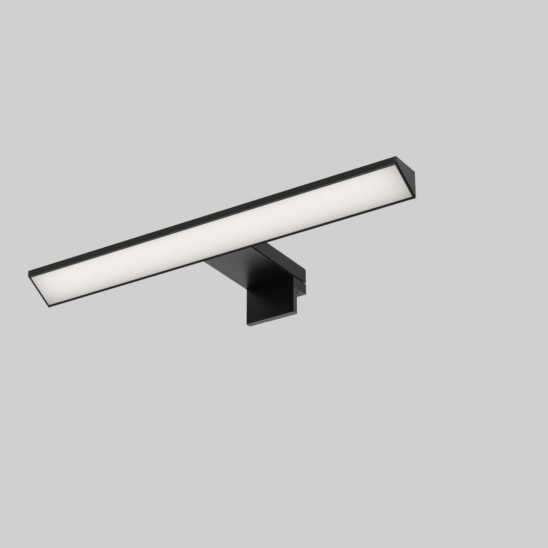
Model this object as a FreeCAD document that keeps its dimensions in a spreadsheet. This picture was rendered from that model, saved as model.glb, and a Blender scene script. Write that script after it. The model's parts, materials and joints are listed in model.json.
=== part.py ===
"""Picture light that clips over the top edge of a frameless mirror.

Frame: the origin is the middle of the mirror seat, where the glass's front face meets its top edge.
+X runs along the bar, +Y points at the wall, +Z is up. Millimetres.
"""

import FreeCAD, Part
import math
import os
import re

import Sketcher

Vector = FreeCAD.Vector

# Driving dimensions: alias, value in millimetres, what it measures.
DIMENSIONS = [
    # light bar
    ("bar_length", 300.0, "overall length over the end caps"),
    ("bar_depth", 24.5, "top face, front to rear"),
    ("bar_height", 19.3, "rear face, bottom to top"),
    ("lip_height", 4.1, "upright front face above the slanted mouth"),
    ("bar_rear", -64.6, "Y of the bar's rear face"),
    ("bar_bottom", 3.6, "Z of the bar's lower rear edge"),
    ("wall", 1.3, "profile wall"),
    ("edge_round", 0.12, "rounding of the bar's long edges"),
    ("window_low", 1.9, "slant distance from the lower edge to the window"),
    ("window_high", 26.8, "slant distance from the lower edge to the window's far side"),
    ("ledge", 1.2, "width of the ledge behind the diffuser"),
    ("diffuser_thick", 2.0, "opal plate"),
    ("diffuser_sunk", 0.2, "diffuser below the slanted rim"),
    ("diffuser_play", 0.05, "gap round the diffuser"),
    ("diffuser_end_gap", 0.35, "diffuser to the profile's end"),
    ("web_depth", 8.5, "mouth plane to the face that carries the board"),
    ("web_thick", 1.6, "web"),
    ("land_thick", 2.9, "thickened rear wall that takes the screws"),
    ("land_low", 7.0, "foot of the thickened wall above the bar's lower edge"),
    # bar ends
    ("cap_plate", 1.5, "flat plate of an end cap"),
    ("cap_chamfer", 0.6, "chamfer of an end cap's front edges"),
    ("gasket_thick", 0.2, "thin end seal"),
    ("gasket_width", 1.0, "ring width of the end seal"),
    ("spigot_length", 3.0, "plug of the cap inside the profile"),
    ("spigot_gap", 0.6, "plug to the web"),
    ("spigot_low", 5.2, "slant distance of the plug's low corner at the diffuser"),
    ("spigot_high", 25.2, "slant distance of the plug's high corner at the diffuser"),
    ("spigot_deep_low", 8.9, "slant distance of the plug's low corner at the web"),
    ("spigot_deep_high", 20.2, "slant distance of the plug's high corner at the web"),
    # light source
    ("board_length", 286.0, "LED board"),
    ("board_width", 10.0, "LED board"),
    ("board_thick", 1.2, "LED board"),
    ("board_middle", 15.0, "slant distance of the board's centre line"),
    ("tape_thick", 0.1, "thermal tape"),
    ("chip_size", 2.8, "LED package"),
    ("chip_thick", 0.8, "LED package"),
    ("chip_pitch", 10.0, "LED spacing"),
    # leads
    ("lead_radius", 0.6, "insulated lead"),
    ("lead_side", 4.0, "X of each lead"),
    ("lead_height", 13.7, "height of the lead holes above the bar's lower edge"),
    ("lead_slant", 9.2, "slant distance of the lead beside the board"),
    ("lead_hole", 1.1, "radius of the lead holes"),
    ("lead_pad", 3.4, "start of the lead on the LED board"),
    ("lead_slack", 0.2, "lead to its bushing"),
    ("lead_drop", 4.0, "start of the lead's drop, before the driver board"),
    ("lead_foot", 0.5, "end of the lead's drop, past the driver board's edge"),
    ("lead_end", 4.0, "end of the lead, past the driver board's edge"),
    ("sleeve_play", 0.02, "bushing to its hole"),
    ("grommet_flange", 2.0, "radius of the lead bushing's flange"),
    ("grommet_flange_thick", 0.8, "lead bushing's flange"),
    # arm
    ("arm_width", 39.2, "arm, side to side"),
    ("arm_rear", 11.6, "Y of the arm's rear face"),
    ("arm_under", 8.0, "Z of the arm's underside"),
    ("arm_top", 20.0, "Z of the arm's top"),
    ("skirt", 0.2, "bracket edge seen below the casing"),
    ("shadow_gap", 1.1, "gap between casing and bracket edge"),
    ("plate_thick", 2.6, "bracket's floor plate"),
    ("shell", 1.6, "casing side wall"),
    ("shell_top", 1.5, "casing top and rear wall"),
    ("shell_play", 0.1, "casing to bracket"),
    ("casing_round", 0.15, "rounding of the casing's long top edges"),
    ("casing_rear_round", 2.0, "rounding of the casing's rear top edge"),
    ("flange_thick", 3.0, "upright flange that carries the bar"),
    ("flange_width", 34.0, "upright flange"),
    ("flange_top", 18.4, "Z of the flange's top"),
    # mirror clamp
    ("front_face", -4.8, "Y of the front plate's face"),
    ("front_back", -0.3, "Y of the front plate's rear"),
    ("front_bottom", -19.0, "Z of the front plate's lower edge"),
    ("front_round", 0.15, "rounding of the front plate's edges"),
    ("roof_pad_thick", 0.5, "strip that rests on the glass"),
    ("roof_pad_margin", 0.3, "strip to the glass's front face and to the jaw at rest"),
    ("pad_recess", 1.0, "recess that holds the front pad"),
    ("pad_side", 17.5, "half width of the front pad"),
    ("pad_low", -17.2, "Z of the front pad's lower edge"),
    ("pad_high", -2.0, "Z of the front pad's upper edge"),
    ("pad_play", 0.1, "front pad to its recess"),
    ("pad_round", 0.2, "rounding of the front pad's face"),
    ("leg_width", 24.0, "rear leg"),
    ("leg_face", 8.3, "Y of the rear leg's front"),
    ("leg_bottom", -12.5, "Z of the rear leg's lower edge"),
    ("slot_rest", 5.0, "open width of the glass slot"),
    ("jaw_width", 22.0, "rear jaw"),
    ("jaw_low", -11.5, "Z of the jaw's lower edge"),
    ("jaw_high", -0.8, "Z of the jaw's upper edge"),
    ("jaw_pad_thick", 0.8, "soft pad on the jaw"),
    ("jaw_thick", 1.2, "jaw plate"),
    ("jaw_round", 1.0, "corners of the jaw plate"),
    ("jaw_pad_inset", 0.5, "edge of the pad to the edge of the plate"),
    ("jaw_pad_round", 0.8, "corners of the jaw pad"),
    ("screw_height", -6.0, "Z of the clamp screw"),
    ("screw_radius", 2.0, "M4 set screw"),
    ("screw_length", 6.0, "M4 set screw, thread"),
    ("thread_play", 0.05, "radial clearance in the leg and in the jaw"),
    ("nose_radius", 1.25, "screw nose in the jaw"),
    ("nose_head", 1.8, "riveted end of the nose"),
    ("nose_sink", 0.5, "counterbore for the riveted end"),
    ("hex_radius", 1.15, "socket of the set screw, across corners"),
    ("hex_depth", 2.0, "socket of the set screw"),
    ("screw_step", 0.1, "screw's shoulder and rivet to the jaw"),
    ("screw_lead_in", 0.4, "chamfer at the thread's start"),
    ("screw_end_chamfer", 0.3, "chamfer at the thread's end"),
    # small screws
    ("bar_screw_side", 13.0, "X of each bar screw"),
    ("bar_screw_height", 13.5, "Z of the bar screws"),
    ("bar_screw_length", 5.6, "bar screw below its head"),
    ("shank", 1.4, "M3 shank"),
    ("shank_hole", 1.45, "hole that the M3 thread cuts in"),
    ("shank_clear", 1.6, "M3 clearance hole"),
    ("pan_head", 2.7, "M3 pan head"),
    ("pan_thick", 1.6, "M3 pan head"),
    ("sunk_head", 2.8, "M3 countersunk head"),
    ("casing_screw_side", 13.0, "X of each casing screw"),
    ("casing_screw_height", 14.5, "Z of the casing screws"),
    ("casing_screw_length", 7.0, "casing screw with its head"),
    ("cross_width", 0.7, "cross recess"),
    ("cross_span", 2.8, "cross recess"),
    ("cross_depth", 0.8, "cross recess"),
    ("post_half", 3.5, "half width of a casing screw post"),
    ("post_front", 3.0, "Y of a casing screw post's front"),
    ("post_top", 18.2, "Z of the casing screw posts' top"),
    # cord outlet
    ("outlet_height", 14.85, "Z of the cord outlet"),
    ("outlet_bore", 2.4, "bore of the cord grommet"),
    ("outlet_neck", 3.15, "grommet in the wall"),
    ("outlet_hole", 3.2, "hole in the casing's rear wall"),
    ("outlet_flange", 4.2, "outer flange of the grommet"),
    ("outlet_inner", 3.6, "inner flange of the grommet"),
    ("outlet_lip", 0.8, "flange thickness"),
    ("clamp_front", -3.5, "Y of the cord clamp's front"),
    ("clamp_back", 1.5, "Y of the cord clamp's rear"),
    ("clamp_inner", 4.6, "X where a clamp post starts"),
    ("clamp_outer", 9.4, "X where a clamp post ends"),
    ("clamp_seat", 15.2, "Z of the clamp posts' top"),
    ("clamp_thick", 1.6, "cord clamp bar"),
    ("clamp_screw_side", 7.0, "X of each cord clamp screw"),
    ("clamp_screw_length", 5.0, "cord clamp screw below its head"),
    ("clamp_hole_depth", 4.0, "screw hole in a clamp post"),
    ("small_shank", 1.0, "M2 shank"),
    ("small_hole", 1.05, "hole for the M2 thread"),
    ("small_head", 1.9, "M2 pan head"),
    ("small_head_thick", 1.1, "M2 pan head"),
    ("small_clear", 1.2, "M2 clearance hole"),
    ("slot_width", 0.5, "slot of an M2 screw"),
    # driver
    ("tray_side", 17.0, "half width of the tray"),
    ("tray_front", -56.5, "Y of the tray's front"),
    ("tray_back", -5.0, "Y of the tray's rear"),
    ("tray_thick", 0.7, "tray sheet"),
    ("tray_top", 16.0, "Z of the tray's edge"),
    ("spacer_radius", 1.9, "tray spacer"),
    ("spacer_height", 1.0, "tray spacer"),
    ("driver_side", 15.0, "half width of the driver board"),
    ("driver_front", -55.0, "Y of the driver board's front"),
    ("driver_back", -19.0, "Y of the driver board's rear"),
    ("driver_thick", 1.0, "driver board"),
    ("driver_screw_inset", 2.6, "screw centre from the board's edges"),
    ("driver_screw_length", 2.2, "driver screw below its head"),
    ("transformer_x", 0.5, "X of the transformer"),
    ("transformer_y", -38.0, "Y of the transformer"),
    ("core_width", 13.0, "transformer core along X"),
    ("core_depth", 6.0, "transformer core along Y"),
    ("core_height", 4.8, "transformer core"),
    ("bobbin_width", 9.0, "transformer bobbin along X"),
    ("bobbin_depth", 11.0, "transformer bobbin along Y"),
    ("bobbin_height", 4.0, "transformer bobbin"),
    ("can_radius", 2.4, "capacitor lying on its side"),
    ("can_length", 11.0, "capacitor"),
    ("can_y", -28.0, "Y of the capacitors"),
    ("can_left", -13.5, "X where the left capacitor starts"),
    ("can_right", 1.5, "X where the right capacitor starts"),
    ("drum_x", 11.5, "X of the choke"),
    ("drum_y", -47.0, "Y of the choke"),
    ("drum_radius", 2.8, "choke rim"),
    ("drum_core", 2.0, "choke waist"),
    ("drum_height", 4.2, "choke"),
    ("drum_rim", 0.8, "thickness of the choke's rims"),
    ("moulded_y", -36.0, "Y of the moulded packages"),
    ("moulded_depth", 4.0, "moulded packages along Y"),
    ("switch_x", -10.5, "X of the switching chip"),
    ("switch_width", 5.0, "switching chip along X"),
    ("switch_thick", 1.5, "switching chip"),
    ("rectifier_x", 11.75, "X of the rectifier"),
    ("rectifier_width", 4.5, "rectifier along X"),
    ("rectifier_thick", 1.6, "rectifier"),
    ("terminal_side", 7.0, "half width of the terminal block"),
    ("terminal_front", -15.0, "Y of the terminal block's front"),
    ("terminal_back", -6.0, "Y of the terminal block's rear"),
    ("terminal_top", 18.0, "Z of the terminal block's top"),
    ("terminal_pole", 3.5, "X of each pole"),
    ("terminal_entry", 1.3, "wire entry"),
    ("terminal_entry_depth", 3.0, "wire entry"),
    ("terminal_well", 2.5, "depth of the clamping screws' wells"),
    ("terminal_screw", 1.5, "clamping screw"),
    ("terminal_screw_height", 1.8, "clamping screw"),
    ("well_play", 0.1, "clamping screw to its well"),
    ("mains_on_board", 3.0, "mains lead over the driver board"),
    ("mains_in_terminal", 2.5, "mains lead in the terminal block"),
    # modelling
    ("hair", 0.05, "gap between pieces that only just clear each other"),
    ("cut_margin", 0.5, "how far a cut runs past the material"),
]
LED_COUNT = 28
HEX_SIDES = 6
LEAD_BENDS = (1.4, 2.4, 3.6, 3.6)
VOLUME_TOLERANCE = 0.01
SIDES = (-1, 1)

# Derived lengths, written as expressions of the cells above.
SLANT_LENGTH = "sqrt(bar_depth^2 + (bar_height - lip_height)^2)"
SLANT_COS = f"(bar_depth / {SLANT_LENGTH})"
SLANT_SIN = f"((bar_height - lip_height) / {SLANT_LENGTH})"
PROFILE_END = "(bar_length / 2 - cap_plate - gasket_thick)"
GASKET_END = "(bar_length / 2 - cap_plate)"
DIFFUSER_BACK = "(diffuser_sunk + diffuser_thick)"
WEB_BACK = "(web_depth + web_thick)"
FLOOR = "(arm_under + plate_thick)"
SEAM = "(arm_under + skirt)"
CASING_BOTTOM = "(arm_under + skirt + shadow_gap)"
REAR_WALL = "(arm_rear - shell_top)"
BOARD_UNDER = f"({FLOOR} + tray_thick + spacer_height)"
BOARD_TOP = f"({BOARD_UNDER} + driver_thick)"
LEAD_ON_BOARD = f"({BOARD_TOP} + lead_radius)"
CLAMP_MIDDLE = "(clamp_front + clamp_back) / 2"
JAW_FACE = "(slot_rest + jaw_pad_thick)"
JAW_BACK = "(slot_rest + jaw_pad_thick + jaw_thick)"

doc = FreeCAD.newDocument("mirror_light")
sheet = doc.addObject("Spreadsheet::Sheet", "dims")
for row, (alias, size, _) in enumerate(DIMENSIONS, start=1):
    sheet.set(f"A{row}", str(size))
    sheet.setAlias(f"A{row}", alias)
doc.recompute()

ALIASES = {alias for alias, _, _ in DIMENSIONS}
subparts = []


# ---------------------------------------------------------------- helpers


def cells(text):
    """The expression with each alias written as the sheet's cell."""
    return re.sub(r"[a-z_]+", lambda word: "dims." + word[0] if word[0] in ALIASES else word[0], str(text))


def size_of(text):
    """The number that an expression of the cells gives now."""
    return float(sheet.evalExpression(cells(text)))


def bind(feature, prop, text):
    """Ties one property of a feature to the sheet."""
    feature.setExpression(prop, cells(text))


def place(feature, x, y, z):
    """Ties a feature's position to the sheet."""
    for axis, text in zip("xyz", (x, y, z)):
        bind(feature, f"Placement.Base.{axis}", text)
    return feature


def box(x, y, z, name="block"):
    """A Part::Box between (low, high) pairs of expressions."""
    block = doc.addObject("Part::Box", name)
    for prop, (low, high) in zip(("Length", "Width", "Height"), (x, y, z)):
        bind(block, prop, f"({high}) - ({low})")
    return place(block, x[0], y[0], z[0])


def centred(middle, size):
    """(low, high) expressions of a length about its middle."""
    return f"{middle} - ({size}) / 2", f"{middle} + ({size}) / 2"


TURN = {
    "X": FreeCAD.Rotation(Vector(0, 1, 0), 90),
    "Y": FreeCAD.Rotation(Vector(1, 0, 0), -90),
    "Z": FreeCAD.Rotation(),
}


def rod(axis, start, radius, length, name="rod"):
    """A Part::Cylinder that runs from start along +axis."""
    cylinder = doc.addObject("Part::Cylinder", name)
    cylinder.Placement = FreeCAD.Placement(Vector(), TURN[axis])
    bind(cylinder, "Radius", radius)
    bind(cylinder, "Height", length)
    return place(cylinder, *start)


def cone(axis, start, first, last, length):
    """A Part::Cone from radius first at start to radius last."""
    shape = doc.addObject("Part::Cone", "cone")
    shape.Placement = FreeCAD.Placement(Vector(), TURN[axis])
    bind(shape, "Radius1", first)
    bind(shape, "Radius2", last)
    bind(shape, "Height", length)
    return place(shape, *start)


def fuse(shapes, name="joined"):
    """Several overlapping shapes as one solid."""
    joined = doc.addObject("Part::MultiFuse", name)
    joined.Shapes = shapes
    joined.Refine = True
    return joined


def cut(base, tools, name="pierced"):
    """The base with every tool taken away."""
    pierced = doc.addObject("Part::Cut", name)
    pierced.Base = base
    pierced.Tool = tools[0] if len(tools) == 1 else fuse(tools, "tools")
    return pierced


def group(shapes, name="group"):
    """Separate solids that share one node."""
    together = doc.addObject("Part::Compound", name)
    together.Links = shapes
    return together


def round_edges(base, radius, chosen, name="rounded"):
    """A Part::Fillet on the edges of base whose middle and direction pass the test chosen."""
    doc.recompute()
    rounded = doc.addObject("Part::Fillet", name)
    rounded.Base = base
    size = size_of(radius)
    rounded.Edges = [(index, size, size) for index in edge_numbers(base.Shape, chosen)]
    return rounded


def edge_numbers(shape, chosen):
    """Numbers, from 1, of the straight edges that pass the test."""
    numbers = []
    for index, edge in enumerate(shape.Edges, start=1):
        if edge.Curve.TypeId != "Part::GeomLine":
            continue
        middle = edge.valueAt((edge.FirstParameter + edge.LastParameter) / 2)
        along = edge.tangentAt(edge.FirstParameter)
        if chosen(middle, along):
            numbers.append(index)
    if not numbers:
        raise ValueError("no edge was chosen")
    return numbers


def near(a, b, reach=0.02):
    """True where two lengths agree."""
    return abs(a - b) < reach


def subpart(feature, name):
    """Gives a finished feature its node's name and lists it for export."""
    feature.Label = name
    subparts.append(feature)
    return feature


def new_body(name):
    """An empty PartDesign body that is listed as a sub-part."""
    return subpart(doc.addObject("PartDesign::Body", name), name)


def sketch_on(body, role, offset="0"):
    """A sketch on one of the body's own origin planes, moved along its normal."""
    sketch = body.newObject("Sketcher::SketchObject", "sketch")
    plane = next(feature for feature in body.Origin.OriginFeatures if feature.Role == role)
    sketch.AttachmentSupport = [(plane, "")]
    sketch.MapMode = "FlatFace"
    bind(sketch, "AttachmentOffset.Base.z", offset)
    return sketch


def pin_point(sketch, geometry, place_on, point, tag):
    """Fixes one point of a sketch at a pair of expressions."""
    for kind, text in zip(("DistanceX", "DistanceY"), point):
        number = sketch.addConstraint(
            Sketcher.Constraint(kind, -1, 1, geometry, place_on, size_of(text))
        )
        name = f"{tag}_{kind[-1].lower()}"
        sketch.renameConstraint(number, name)
        bind(sketch, f"Constraints.{name}", text)


def draw_outline(sketch, points):
    """A closed outline of straight edges through pairs of expressions."""
    first = sketch.GeometryCount
    numbers = [Vector(size_of(x), size_of(y), 0) for x, y in points]
    for start, end in zip(numbers, numbers[1:] + numbers[:1]):
        sketch.addGeometry(Part.LineSegment(start, end))
    for index in range(len(points)):
        following = first + (index + 1) % len(points)
        sketch.addConstraint(Sketcher.Constraint("Coincident", first + index, 2, following, 1))
    for index, point in enumerate(points):
        pin_point(sketch, first + index, 1, point, f"p{first + index}")


def draw_circle(sketch, centre, radius):
    """A circle at a pair of expressions."""
    number = sketch.GeometryCount
    middle = Vector(size_of(centre[0]), size_of(centre[1]), 0)
    sketch.addGeometry(Part.Circle(middle, Vector(0, 0, 1), size_of(radius)))
    pin_point(sketch, number, 3, centre, f"c{number}")
    limit = sketch.addConstraint(Sketcher.Constraint("Radius", number, size_of(radius)))
    sketch.renameConstraint(limit, f"radius{number}")
    bind(sketch, f"Constraints.radius{number}", radius)


def pad(body, sketch, length, symmetric=False, backwards=False):
    """Adds the sketch's outline to the body."""
    feature = body.newObject("PartDesign::Pad", "pad")
    feature.Profile = sketch
    bind(feature, "Length", length)
    feature.SideType = "Symmetric" if symmetric else "One side"
    feature.Reversed = backwards
    return finish_step(body, feature, grows=True)


def pocket(body, sketch, length, symmetric=False, backwards=False):
    """Takes the sketch's outline out of the body."""
    feature = body.newObject("PartDesign::Pocket", "pocket")
    feature.Profile = sketch
    bind(feature, "Length", length)
    feature.SideType = "Symmetric" if symmetric else "One side"
    feature.Reversed = backwards
    return finish_step(body, feature, grows=False)


def finish_step(body, feature, grows):
    """Recomputes and makes sure that the step added or removed material."""
    before = feature.BaseFeature.Shape.Volume if feature.BaseFeature else 0.0
    body.Tip = feature
    doc.recompute()
    change = feature.Shape.Volume - before
    if (change > 0) != grows or near(change, 0, 1e-6):
        raise ValueError(f"a step of {body.Label} changed the volume by {change:.3f}")
    return feature


def dress(body, kind, size, chosen):
    """A Fillet or a Chamfer on the chosen edges of the body."""
    base = body.Tip
    feature = body.newObject(f"PartDesign::{kind}", "dressed")
    names = [f"Edge{number}" for number in edge_numbers(base.Shape, chosen)]
    feature.Base = (base, names)
    bind(feature, "Radius" if kind == "Fillet" else "Size", size)
    body.Tip = feature
    doc.recompute()
    return feature


def slant(along, depth):
    """(Y, Z) of a point in the bar: along the slanted mouth from the lower edge, and in from it."""
    y = f"bar_rear - ({along}) * {SLANT_COS} + ({depth}) * {SLANT_SIN}"
    z = f"bar_bottom + ({along}) * {SLANT_SIN} + ({depth}) * {SLANT_COS}"
    return y, z


def slant_box(along, depth, x, name="board"):
    """A Part::Box square to the slanted mouth: along it, in from it, and along X."""
    block = doc.addObject("Part::Box", name)
    angle = 180 - math.degrees(math.asin(size_of(SLANT_SIN)))
    block.Placement = FreeCAD.Placement(Vector(), FreeCAD.Rotation(Vector(1, 0, 0), angle))
    bind(block, "Length", f"({x[1]}) - ({x[0]})")
    bind(block, "Width", f"({along[1]}) - ({along[0]})")
    bind(block, "Height", f"({depth[1]}) - ({depth[0]})")
    return place(block, x[0], *slant(along[0], depth[1]))


def bar_outline():
    """Corners of the bar's section: lower rear, top rear, top front, foot of the front lip."""
    front = "bar_rear - bar_depth"
    top = "bar_bottom + bar_height"
    return [
        ("bar_rear", "bar_bottom"),
        ("bar_rear", top),
        (front, top),
        (front, "bar_bottom + bar_height - lip_height"),
    ]


def inset_outline(margin):
    """The bar's section with every side moved in by margin."""
    low = f"({margin})"
    rear = f"bar_rear - {low}"
    top = f"bar_bottom + bar_height - {low}"
    front = f"bar_rear - bar_depth + {low}"
    rear_foot = f"bar_bottom + {low} * (1 + {SLANT_SIN}) / {SLANT_COS}"
    front_foot = f"{rear_foot} + (bar_depth - 2 * {low}) * {SLANT_SIN} / {SLANT_COS}"
    return [(rear, rear_foot), (rear, top), (front, top), (front, front_foot)]


def cross_recess(axis, face, centre, inward):
    """Two bars that cut a cross recess in a screw head whose face is at face on the axis."""
    low, high = (face, f"{face} + cross_depth") if inward > 0 else (f"{face} - cross_depth", face)
    spans = []
    for first, second in (("cross_width", "cross_span"), ("cross_span", "cross_width")):
        wide = [centred(middle, size) for middle, size in zip(centre, (first, second))]
        if axis == "Y":
            spans.append(box(wide[0], (low, high), wide[1], "cross"))
        else:
            spans.append(box(wide[0], wide[1], (low, high), "cross"))
    return spans


# ---------------------------------------------------------------- light bar


def make_bar_profile():
    """Extrusion with an open mouth, a web for the board and a closed channel for the leads."""
    body = new_body("bar_profile")
    section = sketch_on(body, "YZ_Plane")
    draw_outline(section, bar_outline())
    pad(body, section, f"2 * {PROFILE_END}", symmetric=True)

    inner_top = "bar_bottom + bar_height - wall"
    web_top = f"bar_rear + (web_depth - (bar_height - wall) * {SLANT_COS}) / {SLANT_SIN}"
    web_foot = f"bar_bottom + (web_depth + land_thick * {SLANT_SIN}) / {SLANT_COS}"
    chamber = sketch_on(body, "YZ_Plane")
    draw_outline(
        chamber,
        [
            slant("window_low", "0"),
            slant("window_high", "0"),
            slant("window_high", DIFFUSER_BACK),
            slant("window_high - ledge", DIFFUSER_BACK),
            slant("window_high - ledge", f"{DIFFUSER_BACK} + ledge"),
            ("bar_rear - bar_depth + wall", inner_top),
            (web_top, inner_top),
            ("bar_rear - land_thick", web_foot),
            ("bar_rear - land_thick", "bar_bottom + land_low"),
            ("bar_rear - wall", "bar_bottom + land_low - wall"),
            ("bar_rear - wall", f"bar_bottom + {DIFFUSER_BACK} * 2"),
            slant("window_low + ledge", DIFFUSER_BACK),
            slant("window_low", DIFFUSER_BACK),
        ],
    )
    pocket(body, chamber, "bar_length", symmetric=True)

    channel_top = f"bar_rear + ({WEB_BACK} - (bar_height - wall) * {SLANT_COS}) / {SLANT_SIN}"
    channel_foot = f"bar_bottom + ({WEB_BACK} + wall * {SLANT_SIN}) / {SLANT_COS}"
    channel = sketch_on(body, "YZ_Plane")
    draw_outline(
        channel,
        [("bar_rear - wall", channel_foot), ("bar_rear - wall", inner_top), (channel_top, inner_top)],
    )
    pocket(body, channel, "bar_length", symmetric=True)

    rear_holes = sketch_on(body, "XZ_Plane", "-bar_rear")
    for side in SIDES:
        draw_circle(rear_holes, (f"{side} * lead_side", "bar_bottom + lead_height"), "lead_hole")
    pocket(body, rear_holes, "wall + cut_margin", backwards=True)
    pilot_holes = sketch_on(body, "XZ_Plane", "-bar_rear")
    for side in SIDES:
        draw_circle(pilot_holes, (f"{side} * bar_screw_side", "bar_screw_height"), "shank_hole")
    pocket(body, pilot_holes, "land_thick + cut_margin", backwards=True)
    dress(
        body,
        "Fillet",
        "edge_round",
        lambda middle, along: near(abs(along.x), 1) and on_outer_corner(middle),
    )
    return body


def on_outer_corner(point):
    """True on one of the bar's four long outer edges."""
    return any(near(point.y, size_of(y)) and near(point.z, size_of(z)) for y, z in bar_outline())


def drill_web(profile_body):
    """Two holes through the web, square to it, for the leads."""
    start = slant("lead_slant", f"{WEB_BACK} + cut_margin")
    holes = []
    for side in SIDES:
        hole = doc.addObject("Part::Cylinder", "web_hole")
        lean = 180 - math.degrees(math.asin(size_of(SLANT_SIN)))
        hole.Placement = FreeCAD.Placement(Vector(), FreeCAD.Rotation(Vector(1, 0, 0), lean))
        bind(hole, "Radius", "lead_hole")
        bind(hole, "Height", "web_thick + 2 * cut_margin")
        holes.append(place(hole, f"{side} * lead_side", *start))
    return cut(profile_body, holes, "drilled_profile")


def make_end_cap():
    """Right-hand cap: plate, neck inside the seal, and spigot."""
    body = new_body("end_cap_right")
    plate = sketch_on(body, "YZ_Plane", GASKET_END)
    draw_outline(plate, bar_outline())
    pad(body, plate, "cap_plate")
    neck = sketch_on(body, "YZ_Plane", PROFILE_END)
    draw_outline(neck, inset_outline("gasket_width"))
    pad(body, neck, "gasket_thick")
    spigot = sketch_on(body, "YZ_Plane", f"{PROFILE_END} - spigot_length")
    shallow, deep = f"{DIFFUSER_BACK} + diffuser_play", "web_depth - spigot_gap"
    draw_outline(
        spigot,
        [
            slant("spigot_low", shallow),
            slant("spigot_high", shallow),
            slant("spigot_deep_high", deep),
            slant("spigot_deep_low", deep),
        ],
    )
    pad(body, spigot, "spigot_length")
    dress(body, "Chamfer", "cap_chamfer", on_cap_front_edge)
    return body


def on_cap_front_edge(middle, along):
    """True on the cap's outer edges beside the lip and beside the mouth."""
    outer = near(middle.x, size_of("bar_length / 2"))
    return outer and not near(along.z, 0) and not near(middle.y, size_of("bar_rear"))


def make_gasket():
    """Right-hand end seal: a ring with the bar's outline."""
    body = new_body("end_gasket_right")
    ring = sketch_on(body, "YZ_Plane", PROFILE_END)
    draw_outline(ring, bar_outline())
    draw_outline(ring, inset_outline("gasket_width - diffuser_play"))
    pad(body, ring, "gasket_thick")
    return body


def mirrored(source, name):
    """The same piece on the other end of the bar."""
    copy = doc.addObject("Part::Mirroring", name)
    copy.Source = source
    copy.Base = Vector()
    copy.Normal = Vector(1, 0, 0)
    return subpart(copy, name)


def make_light_source():
    """Diffuser, LED board on its tape, and the row of LEDs."""
    reach = f"{PROFILE_END} - diffuser_end_gap"
    diffuser = slant_box(
        ("window_low + diffuser_play", "window_high - diffuser_play"),
        ("diffuser_sunk", DIFFUSER_BACK),
        (f"-({reach})", reach),
    )
    subpart(diffuser, "diffuser")
    across = centred("board_middle", "board_width")
    ends = centred("0", "board_length")
    tape_face = "web_depth - tape_thick"
    board_face = f"{tape_face} - board_thick"
    subpart(slant_box(across, (tape_face, "web_depth"), ends), "thermal_tape")
    subpart(slant_box(across, (board_face, tape_face), ends), "led_board")
    chips = []
    for index in range(LED_COUNT):
        middle = f"chip_pitch * {index - (LED_COUNT - 1) / 2}"
        depth = (f"{board_face} - chip_thick", board_face)
        across = centred("board_middle", "chip_size")
        chips.append(slant_box(across, depth, centred(middle, "chip_size"), "chip"))
    subpart(group(chips), "led_chips")


# ---------------------------------------------------------------- leads


def rounded_path(points, radii):
    """Straight runs through the points, joined by tangent arcs of the given radii."""
    edges = []
    start = points[0]
    for corner, after, radius in zip(points[1:-1], points[2:], radii):
        inward = (corner - start).normalize()
        outward = (after - corner).normalize()
        turn = inward.getAngle(outward)
        reach = radius * math.tan(turn / 2)
        first = corner - inward * reach
        last = corner + outward * reach
        bisector = (outward - inward).normalize()
        centre = corner + bisector * (radius / math.cos(turn / 2))
        middle = centre - bisector * radius
        edges.append(Part.LineSegment(start, first).toShape())
        edges.append(Part.Arc(first, middle, last).toShape())
        start = last
    edges.append(Part.LineSegment(start, points[-1]).toShape())
    return Part.Wire(edges)


def make_lead(side, name):
    """Lead from the LED board through web, rear wall and flange to the driver board."""
    x = side * size_of("lead_side")
    board_face = "web_depth - tape_thick - board_thick"

    def in_bar(along, depth):
        y, z = slant(along, depth)
        return Vector(x, size_of(y), size_of(z))

    above_board = f"{board_face} - lead_radius - hair"
    pad_start = in_bar("lead_slant + lead_pad", above_board)
    beside = in_bar("lead_slant", above_board)
    rise = f"(lead_height - lead_slant * {SLANT_SIN}) / {SLANT_COS}"
    in_channel = in_bar("lead_slant", rise)
    hole_z = size_of("bar_bottom + lead_height")
    board_z = size_of(f"{LEAD_ON_BOARD} + hair")
    points = [
        pad_start,
        beside,
        in_channel,
        Vector(x, size_of("driver_front - lead_drop"), hole_z),
        Vector(x, size_of("driver_front + lead_foot"), board_z),
        Vector(x, size_of("driver_front + lead_end"), board_z),
    ]
    path = rounded_path(points, LEAD_BENDS)
    radius = size_of("lead_radius")
    section = Part.Wire(Part.Circle(points[0], points[1] - points[0], radius).toShape())
    tube = path.makePipeShell([section], True, True)
    expected = math.pi * radius**2 * path.Length
    if abs(tube.Volume / expected - 1) > VOLUME_TOLERANCE:
        raise ValueError(f"{name} has volume {tube.Volume:.2f}, not {expected:.2f}")
    lead = doc.addObject("Part::Feature", name)
    lead.Shape = tube
    lead.Placement = FreeCAD.Placement()
    return subpart(lead, name)


def make_lead_grommets():
    """Flanged bushings that line the lead holes of the bar's rear wall."""
    bushings = []
    for side in SIDES:
        x, z = f"{side} * lead_side", "bar_bottom + lead_height"
        length = "wall + grommet_flange_thick"
        start = (x, "bar_rear - wall", z)
        before = (x, "bar_rear - wall - cut_margin", z)
        sleeve = rod("Y", start, "lead_hole - sleeve_play", length)
        bore = rod("Y", before, "lead_radius + lead_slack", f"{length} + 2 * cut_margin")
        bushings.append(cut(sleeve, [bore]))
    subpart(group(bushings), "lead_grommets")


# ---------------------------------------------------------------- arm


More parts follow.
